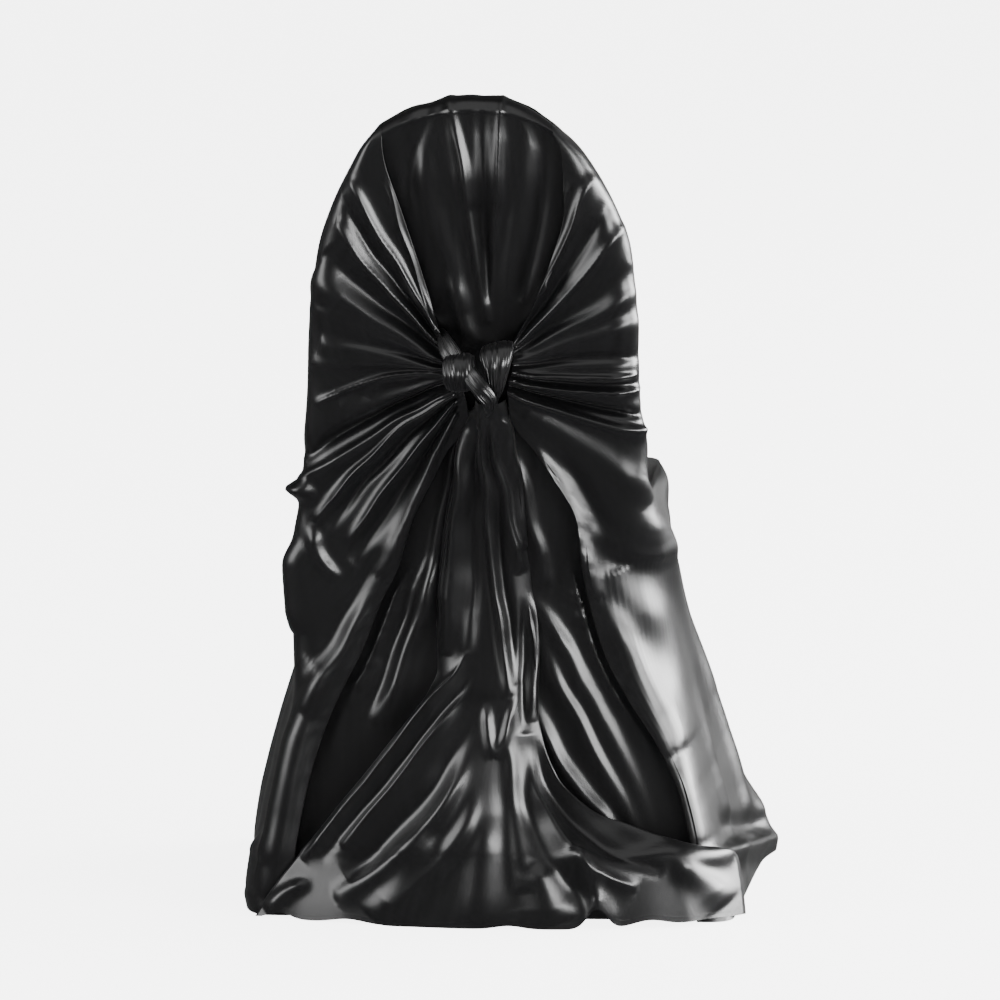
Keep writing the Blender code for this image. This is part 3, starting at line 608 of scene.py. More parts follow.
def cloth_object(name: str, points: np.ndarray, material: bpy.types.Material) -> bpy.types.Object:
    """Makes a smooth mesh of one layer from rows of points, with its cloth lengths as UV in metres and,
    in a second layer, the length along its nearest finished edge and the distance from it.

    Args:
        name: Name of the piece.
        points: Rows of points in the drawing frame.
        material: Finish of the piece.

    Returns:
        The new object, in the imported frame.
    """
    rows, columns = points.shape[:2]
    place = np.arange(rows * columns).reshape(rows, columns)
    faces = np.stack([place[:-1, :-1], place[1:, :-1], place[1:, 1:], place[:-1, 1:]], axis=-1).reshape(-1, 4)
    mesh = bpy.data.meshes.new(name)
    mesh.from_pydata((points + FRAME_SHIFT).reshape(-1, 3).tolist(), [], faces.tolist())
    across, down = cloth_lengths(points)
    centred = across - across[:, columns // 2 : columns // 2 + 1]
    to_side = np.minimum(across, across[:, -1:] - across)
    to_foot = down[-1:] - down
    along = np.where(to_foot < to_side, across, down)
    for layer_name, u, v in (("cloth", centred, down), ("hem", along, np.minimum(to_side, to_foot))):
        uv = np.stack([u, v], axis=-1).reshape(-1, 2)
        layer = mesh.uv_layers.new(name=layer_name)
        layer.data.foreach_set("uv", uv[faces.ravel()].astype(np.float32).ravel())
    mesh.materials.append(material)
    mesh.shade_smooth()
    thing = bpy.data.objects.new(name, mesh)
    bpy.context.scene.collection.objects.link(thing)
    return thing


def turned_edges(points: np.ndarray, normal: np.ndarray, thickness: float, width: float) -> np.ndarray:
    """Adds a turned hem along both side edges: over the edge and back behind the cloth.

    Args:
        points: Rows of points of the sheet.
        normal: Unit normals of the sheet.
        thickness: How thick the doubled edge is.
        width: How far the turned cloth goes back.

    Returns:
        Rows of points with two more columns on each side.
    """
    left_in = points[:, :1] + (points[:, 1:2] - points[:, :1]) / np.maximum(
        np.linalg.norm(points[:, 1:2] - points[:, :1], axis=2, keepdims=True), 1e-9) * width
    right_in = points[:, -1:] + (points[:, -2:-1] - points[:, -1:]) / np.maximum(
        np.linalg.norm(points[:, -2:-1] - points[:, -1:], axis=2, keepdims=True), 1e-9) * width
    left_edge = points[:, :1] - normal[:, :1] * thickness
    right_edge = points[:, -1:] - normal[:, -1:] * thickness
    left_in -= normal[:, :1] * thickness
    right_in -= normal[:, -1:] * thickness
    return np.concatenate([left_in, left_edge, points, right_edge, right_in], axis=1)


class SatinDetail:
    """Node group with the satin's fine streaks, weave and slow changes of gloss."""

    NAME = "satin detail"

    def group(self) -> bpy.types.NodeTree:
        """The group, built the first time that a finish asks for it."""
        found = bpy.data.node_groups.get(self.NAME)
        return found or self._build()

    def _build(self) -> bpy.types.NodeTree:
        """Makes the group.

        Returns:
            A node group with colour, roughness and height outputs.
        """
        tree = bpy.data.node_groups.new(self.NAME, "ShaderNodeTree")
        for name, kind, value in (
            ("Dark", "NodeSocketColor", (0.004, 0.004, 0.0045, 1)),
            ("Light", "NodeSocketColor", (0.012, 0.012, 0.013, 1)),
            ("Smooth", "NodeSocketFloat", 0.28),
            ("Rough", "NodeSocketFloat", 0.42),
            ("Streaks", "NodeSocketFloat", 1.0),
        ):
            socket = tree.interface.new_socket(name=name, in_out="INPUT", socket_type=kind)
            socket.default_value = value
        outputs = {"Colour": "NodeSocketColor", "Roughness": "NodeSocketFloat", "Height": "NodeSocketFloat"}
        for name, kind in outputs.items():
            tree.interface.new_socket(name=name, in_out="OUTPUT", socket_type=kind)
        nodes, links = tree.nodes, tree.links
        inputs = nodes.new("NodeGroupInput")
        outputs = nodes.new("NodeGroupOutput")
        place = nodes.new("ShaderNodeTexCoord")
        fine = self._noise(tree, place, "UV", (1400, 36, 1), 1.0, 2.0)
        broad = self._noise(tree, place, "UV", (160, 7, 1), 1.0, 3.0)
        slow = self._noise(tree, place, "Object", (9, 9, 9), 1.0, 2.0)
        weave = nodes.new("ShaderNodeTexWave")
        weave.wave_type = "BANDS"
        weave.bands_direction = "DIAGONAL"
        weave.inputs["Scale"].default_value = 620
        weave.inputs["Distortion"].default_value = 0.6
        links.new(place.outputs["UV"], weave.inputs["Vector"])
        colour = nodes.new("ShaderNodeMix")
        colour.data_type = "RGBA"
        links.new(broad.outputs["Fac"], colour.inputs["Factor"])
        links.new(inputs.outputs["Dark"], colour.inputs["A"])
        links.new(inputs.outputs["Light"], colour.inputs["B"])
        links.new(colour.outputs["Result"], outputs.inputs["Colour"])
        gloss = nodes.new("ShaderNodeMix")
        links.new(slow.outputs["Fac"], gloss.inputs["Factor"])
        links.new(inputs.outputs["Smooth"], gloss.inputs["A"])
        links.new(inputs.outputs["Rough"], gloss.inputs["B"])
        links.new(gloss.outputs["Result"], outputs.inputs["Roughness"])
        threads = self._sum(tree, fine.outputs["Fac"], 0.5, weave.outputs["Fac"], 0.15)
        cloth = self._sum(tree, threads, 1.0, broad.outputs["Fac"], 0.8)
        height = self._sum(tree, cloth, 1.0, self._stitches(tree), 2.2)
        scaled = nodes.new("ShaderNodeMath")
        scaled.operation = "MULTIPLY"
        links.new(height, scaled.inputs[0])
        links.new(inputs.outputs["Streaks"], scaled.inputs[1])
        links.new(scaled.outputs[0], outputs.inputs["Height"])
        return tree

    @staticmethod
    def _stitches(tree: bpy.types.NodeTree, inset: float = 6 * MM, width: float = 0.9 * MM,
                  length: float = 3.2 * MM) -> bpy.types.NodeSocket:
        """A line of stitches beside the finished edges, as a mask.

        Args:
            tree: Where the nodes go.
            inset: How far from the edge the line runs.
            width: Half the width of its groove.
            length: From one stitch to the next.

        Returns:
            The socket with the mask, 1 on the thread.
        """
        hem = tree.nodes.new("ShaderNodeUVMap")
        hem.uv_map = "hem"
        split = tree.nodes.new("ShaderNodeSeparateXYZ")
        tree.links.new(hem.outputs["UV"], split.inputs[0])
        line = tree.nodes.new("ShaderNodeMath")
        line.operation = "COMPARE"
        line.inputs[1].default_value = inset
        line.inputs[2].default_value = width
        tree.links.new(split.outputs["Y"], line.inputs[0])
        beat = tree.nodes.new("ShaderNodeMath")
        beat.operation = "PINGPONG"
        beat.inputs[1].default_value = length / 2
        tree.links.new(split.outputs["X"], beat.inputs[0])
        thread = tree.nodes.new("ShaderNodeMath")
        thread.operation = "GREATER_THAN"
        thread.inputs[1].default_value = length * 0.12
        tree.links.new(beat.outputs[0], thread.inputs[0])
        both = tree.nodes.new("ShaderNodeMath")
        both.operation = "MULTIPLY"
        tree.links.new(line.outputs[0], both.inputs[0])
        tree.links.new(thread.outputs[0], both.inputs[1])
        return both.outputs[0]

    @staticmethod
    def _noise(tree: bpy.types.NodeTree, place: bpy.types.Node, source: str, scale: tuple, size: float,
               detail: float) -> bpy.types.Node:
        """A noise node on stretched coordinates.

        Args:
            tree: Where the nodes go.
            place: The coordinates node.
            source: Which of its outputs is read.
            scale: Cells per metre along each direction.
            size: Scale of the noise itself.
            detail: How many finer layers it has.

        Returns:
            The noise node.
        """
        mapping = tree.nodes.new("ShaderNodeMapping")
        mapping.inputs["Scale"].default_value = scale
        noise = tree.nodes.new("ShaderNodeTexNoise")
        noise.inputs["Scale"].default_value = size
        noise.inputs["Detail"].default_value = detail
        tree.links.new(place.outputs[source], mapping.inputs["Vector"])
        tree.links.new(mapping.outputs["Vector"], noise.inputs["Vector"])
        return noise

    @staticmethod
    def _sum(tree: bpy.types.NodeTree, a: bpy.types.NodeSocket, share_a: float, b: bpy.types.NodeSocket,
             share_b: float) -> bpy.types.NodeSocket:
        """Adds two values, each times its share.

        Args:
            tree: Where the nodes go.
            a: First value.
            share_a: What it is multiplied by.
            b: Second value.
            share_b: What that is multiplied by.

        Returns:
            The socket with the sum.
        """
        first = tree.nodes.new("ShaderNodeMath")
        first.operation = "MULTIPLY"
        first.inputs[1].default_value = share_a
        tree.links.new(a, first.inputs[0])
        second = tree.nodes.new("ShaderNodeMath")
        second.operation = "MULTIPLY_ADD"
        second.inputs[1].default_value = share_b
        tree.links.new(b, second.inputs[0])
        tree.links.new(first.outputs[0], second.inputs[2])
        return second.outputs[0]


@dataclass(frozen=True)
class SatinFinish:
    """Black satin of one piece: its tones, its gloss and how strongly its streaks show."""

    name: str
    dark: tuple = (0.0010, 0.0010, 0.0011, 1)
    light: tuple = (0.0034, 0.0034, 0.0037, 1)
    smooth: float = 0.25
    rough: float = 0.36
    streaks: float = 1.0
    bump: float = 0.22
    depth: float = 0.0004

    def material(self) -> bpy.types.Material:
        """The finish as a material."""
        made = bpy.data.materials.new(self.name)
        made.use_nodes = True
        nodes, links = made.node_tree.nodes, made.node_tree.links
        shader = nodes["Principled BSDF"]
        detail = nodes.new("ShaderNodeGroup")
        detail.node_tree = SatinDetail().group()
        detail.inputs["Dark"].default_value = self.dark
        detail.inputs["Light"].default_value = self.light
        detail.inputs["Smooth"].default_value = self.smooth
        detail.inputs["Rough"].default_value = self.rough
        detail.inputs["Streaks"].default_value = self.streaks
        bump = nodes.new("ShaderNodeBump")
        bump.inputs["Strength"].default_value = self.bump
        bump.inputs["Distance"].default_value = self.depth
        links.new(detail.outputs["Colour"], shader.inputs["Base Color"])
        links.new(detail.outputs["Roughness"], shader.inputs["Roughness"])
        links.new(detail.outputs["Height"], bump.inputs["Height"])
        links.new(bump.outputs["Normal"], shader.inputs["Normal"])
        shader.inputs["IOR"].default_value = 1.5
        shader.inputs["Specular IOR Level"].default_value = 0.7
        shader.inputs["Anisotropic"].default_value = 0.3
        shader.inputs["Sheen Weight"].default_value = 0.02
        shader.inputs["Sheen Roughness"].default_value = 0.35
        return made


@dataclass
class Wrap:
    """The sheet round the seat side and both sides, with the two wings drawn to the knot."""

    rows: int = 286
    columns: int = 330
    back_weight: float = 1.9
    side_weight: float = 0.32
    seat_side_weight: float = 0.22
    dense_rows: float = 0.9
    dense_level: float = 560 * MM
    dense_reach: float = 170 * MM
    corner_radius: float = 34 * MM
    corner_share: float = 0.48
    leg_points: int = 24
    hem_thickness: float = 1.6 * MM
    hem_width: float = 9 * MM
    fold_gain: float = 1.25
    gather_height: float = 1.3 * MM
    gather_reach: float = 70 * MM
    pucker_height: float = 2.6 * MM
    pucker_top: float = 560 * MM
    pucker_foot: float = 130 * MM
    pucker_fade: float = 60 * MM
    crest_fall: float = 3.3
    crest_reach: float = 60 * MM
    flat: tuple = (1.75, 1.35)
    cut_area: float = 1.35

    def places(self) -> np.ndarray:
        """Places of the rows along the table of sections, closer together beside the knot."""
        knots = np.arange(len(SECTIONS), dtype=float)
        fine = np.linspace(0, len(SECTIONS) - 1, 2000)
        profile = [smooth_through(fine, knots, column(SECTIONS, name)) for name in ("side_z", "back_y")]
        level = (profile[0][1:] - self.dense_level) / self.dense_reach
        share = np.hypot(*np.diff(profile, axis=1)) * (1 + self.dense_rows * np.exp(-(level**2)))
        run = np.concatenate([[0], share.cumsum()])
        return np.interp(np.linspace(0, run[-1], self.rows), run, fine)

    def sizes(self, place: float) -> dict:
        """Every size of the section at a place along the table."""
        knots = np.arange(len(SECTIONS), dtype=float)
        at = np.array([place])
        sizes = Section._fields[1:]
        return {name: float(smooth_through(at, knots, column(SECTIONS, name))[0]) for name in sizes}

    @staticmethod
    def level(size: dict, x: np.ndarray, height: str = "side_z", left: str = "left",
              right: str = "right") -> np.ndarray:
        """Height of a section over x.

        Args:
            size: Sizes of the section.
            x: Places across.
            height: Which of its heights counts.
            left: Which of its left ends counts.
            right: Which of its right ends counts.

        Returns:
            The height at each place.
        """
        centre, power = 14 * MM, 2.2
        reach = np.where(x > centre, size[right] - centre, centre - size[left])
        share = np.clip(np.abs(x - centre) / reach, 0, 1)
        return size[height] + size["crown"] * (1 - share**power)

    @classmethod
    def wing_level(cls, size: dict, x: np.ndarray) -> np.ndarray:
        """Height of a wing's row over x: it turns from its side height towards the knot."""
        reach = np.where(x > KNOT_X, size["right"] - KNOT_X, KNOT_X - size["left"])
        share = np.clip(np.abs(x - KNOT_X) / reach, 0, 1)
        turned = size["side_z"] + (KNOT_Z - size["side_z"]) * (1 - share)
        return (1 - size["fan"]) * cls.level(size, x) + size["fan"] * turned

    @classmethod
    def opening_x(cls, size: dict, side: str, winged: bool = True) -> float:
        """Where a row meets the free edge of a wing.

        Args:
            size: Sizes of the section.
            side: Which wing, left or right.
            winged: Whether the row turns towards the knot.

        Returns:
            The place across the back.
        """
        x = np.linspace(size[side] * 0.985, KNOT_X, 400)
        z = cls.wing_level(size, x) if winged else cls.level(size, x)
        edge = smooth_through(z, column(OPENING, "z")[::-1], column(OPENING, side)[::-1])
        past = np.nonzero(np.abs(x - KNOT_X) <= np.abs(edge - KNOT_X))[0]
        if not len(past) or past[0] == 0:
            return float(x[past[0]] if len(past) else x[-1])
        a, b = past[0] - 1, past[0]
        gap_a, gap_b = (abs(x[i] - KNOT_X) - abs(edge[i] - KNOT_X) for i in (a, b))
        share = gap_a / (gap_a - gap_b) if gap_a != gap_b else 1.0
        return float(x[a] + (x[b] - x[a]) * share)

    @staticmethod
    def rounded(path: np.ndarray, legs: list, steps: int = 24) -> np.ndarray:
        """A path with its inner corners rounded.

        Args:
            path: Corner points in the plane.
            legs: How far before and after each inner corner its round goes.
            steps: Points on each round.

        Returns:
            Points of the rounded path.
        """
        points = [path[0]]
        limits = [(0.5, 0.5)] * (len(legs) - 1) + [(0.5, 0.97)]
        for before, corner, after, leg, limit in zip(path, path[1:], path[2:], legs, limits):
            start = corner + (before - corner) * min(leg[0] / np.linalg.norm(before - corner), limit[0])
            end = corner + (after - corner) * min(leg[1] / np.linalg.norm(after - corner), limit[1])
            for t in np.linspace(0, 1, steps):
                points.append((1 - t) ** 2 * start + 2 * t * (1 - t) * corner + t * t * end)
        points.append(path[-1])
        return np.array(points)

    def legs(self, size: dict) -> list:
        """How far each corner of a section is rounded before and after it."""
        radius = min(self.corner_radius, self.corner_share * (size["front_y"] - size["back_y"]))
        at = np.array([size["side_z"]])
        side, back = (
            float(smooth_through(at, column(RIGHT_CORNER, "z")[::-1], column(RIGHT_CORNER, name)[::-1])[0])
            for name in ("side", "back")
        )
        turned = (radius + side - self.corner_radius, radius + back - self.corner_radius)
        return [(radius, radius)] * 3 + [turned]

    def row(self, place: float) -> np.ndarray:
        """One row of points, from the left wing's edge round the seat side to the right wing's edge."""
        size = self.sizes(place)
        corners = np.array([
            (self.opening_x(size, "left"), size["back_y"]),
            (size["left"], size["back_y"]),
            (size["front_left"], size["front_y"]),
            (size["front_right"], size["front_y"]),
            (size["right"], size["back_y"]),
            (self.opening_x(size, "right"), size["back_y"]),
        ])
        depth = size["front_y"] - size["back_y"]
        path = self.rounded(corners, self.legs(size))
        pieces = [np.linspace(a, b, self.leg_points, endpoint=False) for a, b in zip(path, path[1:])]
        path = np.vstack(pieces + [path[-1:]])
        forward = np.clip((path[:, 1] - size["back_y"]) / depth, 0, 1)
        back_z = self.wing_level(size, path[:, 0])
        front_z = self.level(size, path[:, 0], "front_z", "front_left", "front_right")
        blend = smooth_step(forward)
        z = back_z + blend * (front_z - back_z)
        y = path[:, 1] + (1 - blend) * min(3 * size["fan"], 1) * (wall_y(back_z) - size["back_y"])
        run = np.linalg.norm(np.diff(path, axis=0), axis=1)
        middle = (forward[1:] + forward[:-1]) / 2
        nearness = np.clip(1 - middle / 0.42, 0, 1) ** 2
        weight = self.side_weight + (self.back_weight - self.side_weight) * nearness
        weight = np.where(middle > 0.98, self.seat_side_weight, weight)
        length = np.concatenate([[0], np.cumsum(run * weight)])
        even = np.linspace(0, length[-1], self.columns)
        return np.stack([np.interp(even, length, v) for v in (path[:, 0], y, z)], axis=1)[::-1]

    def gathers(self, x: np.ndarray, z: np.ndarray) -> np.ndarray:
        """Fine gathers that radiate from the knot and fade away from it.

        Args:
            x: Places across.
            z: Heights of the places.

        Returns:
            Their height at each place.
        """
        away = np.hypot(x - KNOT_X, z - KNOT_Z)
        angle = np.arctan2(z - KNOT_Z, x - KNOT_X) / math.pi
        drift = 0.25 * SoftNoise(5).at(angle * 3 + 20, away / (60 * MM))
        fine = SoftNoise(7).at((angle + drift * 0.1) * 26 + 40, away / (90 * MM))
        coarse = SoftNoise(8).at((angle + drift * 0.1) * 11 + 40, away / (140 * MM))
        ridged = (1 - np.abs(fine)) ** 2 - 0.4
        near = np.exp(-((away / self.gather_reach) ** 2))
        far = np.exp(-away / (2.2 * self.gather_reach))
        return self.gather_height * (ridged * near + 0.35 * coarse * far)

    def edge_puckers(self, grid: np.ndarray) -> np.ndarray:
        """The small gathers along both free edges below the knot.

        Args:
            grid: Rows of points of the sheet without its folds.

        Returns:
            Their height at each point.
        """
        across, _ = cloth_lengths(grid)
        total = np.zeros(across.shape)
        for column_index, distance, seed in ((0, across, 31), (-1, across[:, -1:] - across, 33)):
            edge = grid[:, column_index]
            along = np.linalg.norm(np.diff(edge, axis=0, prepend=edge[:1]), axis=1).cumsum()[:, None]
            below_knot = smooth_step((self.pucker_top - edge[:, 2]) / self.pucker_fade)
            above_hem = smooth_step((edge[:, 2] - self.pucker_foot) / self.pucker_fade)
            total += (below_knot * above_hem)[:, None] * puckers(distance, along, seed)
        return self.pucker_height * total

    def build(self) -> bpy.types.Object:
        """Builds the sheet with its folds, gathers and turned edges."""
        grid = ClothGrid(np.array([self.row(place) for place in self.places()]))
        x, y, z = (grid.base[..., i] for i in range(3))
        crest = grid.base[0, :, 2].max() - self.crest_fall * (x - KNOT_X) ** 2
        seat_side = np.clip(2 * grid.normal[..., 1] + 0.5, 0, 1)
        over_crest = smooth_step(1 - (crest - z) / self.crest_reach) * seat_side
        rise = KNOT_RISE * np.exp(-((np.hypot(x - KNOT_X, z - KNOT_Z) / KNOT_REACH) ** 2))
        folds = self.fold_gain * FoldField(WRAP_FOLDS).height(x, z)
        height = (folds + rise + self.gathers(x, z)) * grid.facing()
        height += FoldField(LEFT_SIDE_FOLDS).height(y, z) * np.clip(-grid.normal[..., 0], 0, 1)
        height += FoldField(RIGHT_SIDE_FOLDS).height(y, z) * np.clip(grid.normal[..., 0], 0, 1)
        height += CREST_SHARE * FoldField(PANEL_FOLDS).height(x, z) * over_crest
        height += self.edge_puckers(grid.base)
        points = turned_edges(grid.raised(height), grid.normal, self.hem_thickness, self.hem_width)
        return self.dress(cloth_object("wrap_cloth", points, SatinFinish("wrap satin").material()))

    def dress(self, piece: bpy.types.Object) -> bpy.types.Object:
        """Makes the piece stand for its solid."""
        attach(piece, BODY)
        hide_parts("cover_body")
        return piece


@dataclass
class HoodBack:
    """The hood's back between and behind the wings, from the crest to the floor."""

    rows: int = 260
    columns: int = 130
    inset: float = 15 * MM
    flat_share: float = 0.3
    middle_inset: float = 0.35
    folded_to: float = 0.8
    folded_fade: float = 0.25
    tuck: float = 26 * MM
    strip_inset: float = 14 * MM
    strip_height: float = 3.4 * MM
    strip_roll: float = 0.6
    strip_width: float = 7 * MM
    strip_top: float = 430 * MM
    strip_foot: float = 150 * MM
    strip_fade: float = 60 * MM
    tuck_start: float = 3.5
    tuck_run: float = 3.5
    notch_clear: float = 0.3 * MM
    crest_depth: float = 1 * MM
    crest_fade: float = 110 * MM
    flat: tuple = (0.46, 1.0)
    cut_area: float = 0.3

    def base(self) -> np.ndarray:
        """Rows of points of the sheet without its folds."""
        side = np.linspace(-1, 1, self.columns)
        rows = []
        for place in Wrap(rows=self.rows).places():
            size = Wrap().sizes(place)
            left, right = Wrap.opening_x(size, "left", False), Wrap.opening_x(size, "right", False)
            tucked = float(smooth_step(np.array((place - self.tuck_start) / self.tuck_run)))
            clear = (1 - tucked) * self.notch_clear
            tuck_left = tucked * min(self.tuck, 0.5 * (left - size["left"]))
            tuck_right = tucked * min(self.tuck, 0.5 * (size["right"] - right))
            x = np.linspace(left - tuck_left + clear, right + tuck_right - clear, self.columns)
            near_edge = np.clip((np.abs(side) - self.flat_share) / (1 - self.flat_share), 0, 1)
            inset = self.inset * tucked * (self.middle_inset + (1 - self.middle_inset) * near_edge)
            z = Wrap.level(size, x)
            wall = size["back_y"] + min(3 * size["fan"], 1) * (wall_y(z) - size["back_y"])
            rows.append(np.stack([x, wall + inset, z], axis=1))
        points = np.array(rows)
        points[0, :, 1] += self.crest_depth
        return points

    def build(self) -> bpy.types.Object:
        """Builds the sheet with its folds."""
        grid = ClothGrid(self.base())
        side = np.abs(np.linspace(-1, 1, self.columns))
        visible = np.clip((self.folded_to - side) / self.folded_fade, 0, 1)
        _, down = cloth_lengths(grid.base)
        from_crest = CREST_SHARE + (1 - CREST_SHARE) * smooth_step(down / self.crest_fade)
        height = FoldField(PANEL_FOLDS).height(grid.base[..., 0], grid.base[..., 2]) * visible * from_crest
        height += self.strip_puckers(grid.base)
        satin = SatinFinish("hood satin").material()
        return self.dress(cloth_object("hood_back_cloth", grid.raised(height), satin))

    def strip_puckers(self, grid: np.ndarray) -> np.ndarray:
        """The gathered strips that show beside the wings' free edges, below the knot.

        Args:
            grid: Rows of points of the sheet without its folds.

        Returns:
            Their height at each point.
        """
        total = np.zeros(grid.shape[:2])
        x, z = grid[..., 0], grid[..., 2]
        for side, inward, seed in (("left", 1, 41), ("right", -1, 43)):
            edge = smooth_through(z, column(OPENING, "z")[::-1], column(OPENING, side)[::-1])
            distance = np.abs((x - edge) * inward - self.strip_inset)
            along = np.hypot(z, 0.5 * edge)
            from_top = smooth_step((self.strip_top - z) / self.strip_fade)
            from_foot = smooth_step((z - self.strip_foot) / self.strip_fade)
            roll = self.strip_roll * np.exp(-((distance / self.strip_width) ** 2))
            total += from_top * from_foot * (puckers(distance, along, seed) + roll)
        return self.strip_height * total

    def dress(self, piece: bpy.types.Object) -> bpy.types.Object:
        """Makes the piece stand for its solid."""
        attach(piece, BODY)
        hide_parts("back_panel")
        return piece


@dataclass
class TiedTail:
    """The sash's ends below the knot, which spread into two swags at the floor."""

    rows: int = 250
    columns: int = 170
    flat_from: float = 170 * MM
    flat_fade: float = 70 * MM
    swag_top: float = 235 * MM
    swag_fade: float = 50 * MM
    side_share: float = 0.45
    corner_round: float = 48 * MM
    corner_bend: float = 70 * MM
    hem_thickness: float = 1.6 * MM
    hem_width: float = 8 * MM
    flat: tuple = (0.52, 0.64)
    cut_area: float = 0.155

    def base(self) -> np.ndarray:
        """Rows of points of the tail without its folds."""
        knots = np.arange(len(TAIL_SPANS), dtype=float)
        fine = np.linspace(0, len(TAIL_SPANS) - 1, 1000)
        heights = smooth_through(fine, knots, column(TAIL_SPANS, "z"))
        levels = np.linspace(heights[0], heights[-1], self.rows)
        places = np.interp(levels[::-1], heights[::-1], fine[::-1])[::-1]
        z, left, right, lift, edge = (
            smooth_through(places, knots, column(TAIL_SPANS, name)) for name in Span._fields
        )
        side = np.linspace(-1, 1, self.columns)[None, :]
        x = left[:, None] + (right - left)[:, None] * (side + 1) / 2
        flat = smooth_step((z - self.flat_from) / self.flat_fade)[:, None]
        swell = 1 - (1 - flat) * side**2 - flat * side**4
        y = wall_y(z)[:, None] - edge[:, None] - (lift - edge)[:, None] * swell
        corner = smooth_through(z, column(SECTIONS, "side_z")[::-1], column(SECTIONS, "right")[::-1])[:, None]
        y = y + np.maximum(x - corner + self.corner_round, 0) ** 2 / self.corner_bend
        return np.stack([x, y, z[:, None] + self.hem_rise(x, z[:, None])], axis=-1)

    @staticmethod
    def hem_rise(x: np.ndarray, z: np.ndarray) -> np.ndarray:
        """How far the near hem is lifted, fading out upwards."""
        lift = sum(row.lift * MM * np.exp(-(((x - row.x * MM) / (row.reach * MM)) ** 2)) for row in HEM_LIFTS)
        return lift * np.clip(1 - z / HEM_LIFT_TOP, 0, 1)

    def build(self) -> bpy.types.Object:
        """Builds the tail with its folds and turned edges."""
        grid = ClothGrid(self.base())
        x, z = grid.base[..., 0], grid.base[..., 2]
        side = np.abs(np.linspace(-1, 1, self.columns))
        near_side = smooth_step((side - self.side_share) / self.side_share)
        above_swags = smooth_step((z - self.swag_top) / self.swag_fade)
        height = FoldField(PANEL_FOLDS).height(x, z) * near_side * above_swags
        height += FoldField(TAIL_FOLDS).height(x, z)
        points = turned_edges(grid.raised(height), grid.normal, self.hem_thickness, self.hem_width)
        return self.dress(cloth_object("tail_cloth", points, SatinFinish("tail satin").material()))

    def dress(self, piece: bpy.types.Object) -> bpy.types.Object:
        """Makes the piece stand for its solid."""
        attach(piece, BODY)
        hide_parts("sash_tail")
        return piece


@dataclass
class SashKnot:
    """The knot: four bands of gathered satin."""

    sides: int = 150
    rings: int = 90
    roundness: float = 0.6
    end_shrink: float = 0.3
    wander: float = 0.16

    def band(self, band: Band, material: bpy.types.Material, seed: int) -> bpy.types.Object:
        """One band of the knot as a closed, pleated tube along its stations.

        Args:
            band: Its table.
            material: Its finish.
            seed: Seed of its pleats' unevenness.

        Returns:
            The new object.
        """
        knots = np.arange(len(band.stations), dtype=float)
        turn = np.linspace(0.002, math.pi - 0.002, self.rings)
        share = (1 - np.cos(turn)) / 2
        x, z, y, half, thick = (
            smooth_through(share * knots[-1], knots, column(band.stations, name)) for name in Station._fields
        )
        centre = np.stack([x, y, z], axis=1)
        run = np.gradient(centre, axis=0)
        run /= np.linalg.norm(run, axis=1, keepdims=True)
        lean = math.radians(band.lean)
        level = np.array([math.cos(lean), 0, math.sin(lean)])
        across = level - run * (run @ level)[:, None]
        across /= np.linalg.norm(across, axis=1, keepdims=True)
        out = np.cross(run, across)
        angle = np.linspace(0, 2 * math.pi, self.sides)[None, :]
        place = share[:, None] * np.ones_like(angle)
        wide, deep = np.cos(angle), np.sign(np.sin(angle)) * np.abs(np.sin(angle)) ** self.roundness
        wander = self.wander * SoftNoise(seed).at(place * 3 + 2, wide * 3 + 9)
        pleat = np.abs(np.sin(math.pi * band.pleats * (wide * 0.5 + 0.5 + wander))) ** 0.7 - 0.6
        pleat = pleat * (0.7 + 0.5 * SoftNoise(seed + 1).at(place * 4 + 2, wide * 5 + 9))
        swell = np.sin(turn)[:, None] ** self.end_shrink
        fine = SoftNoise(seed + 2).at(place * 5 + 2, wide * 16 + 30) * 0.5 * MM
        level = swell * (thick[:, None] * deep + (band.pleat_depth * MM * pleat + fine) * np.sign(deep))
        points = centre[:, None] + (half[:, None] * swell * wide)[..., None] * across[:, None]
        points = points + level[..., None] * out[:, None]
        return self.dress(cloth_object(band.node + "_cloth", points[:, ::-1], material), band.node)

    @staticmethod
    def dress(piece: bpy.types.Object, node: str) -> bpy.types.Object:
        """Makes a band stand for its solid."""
        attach(piece, BODY)
        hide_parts(node)
        return piece

    def build(self) -> list[bpy.types.Object]:
        """Builds every band."""
        material = SatinFinish("knot satin", streaks=0.6).material()
        return [self.band(band, material, 50 + 4 * index) for index, band in enumerate(KNOT_BANDS)]


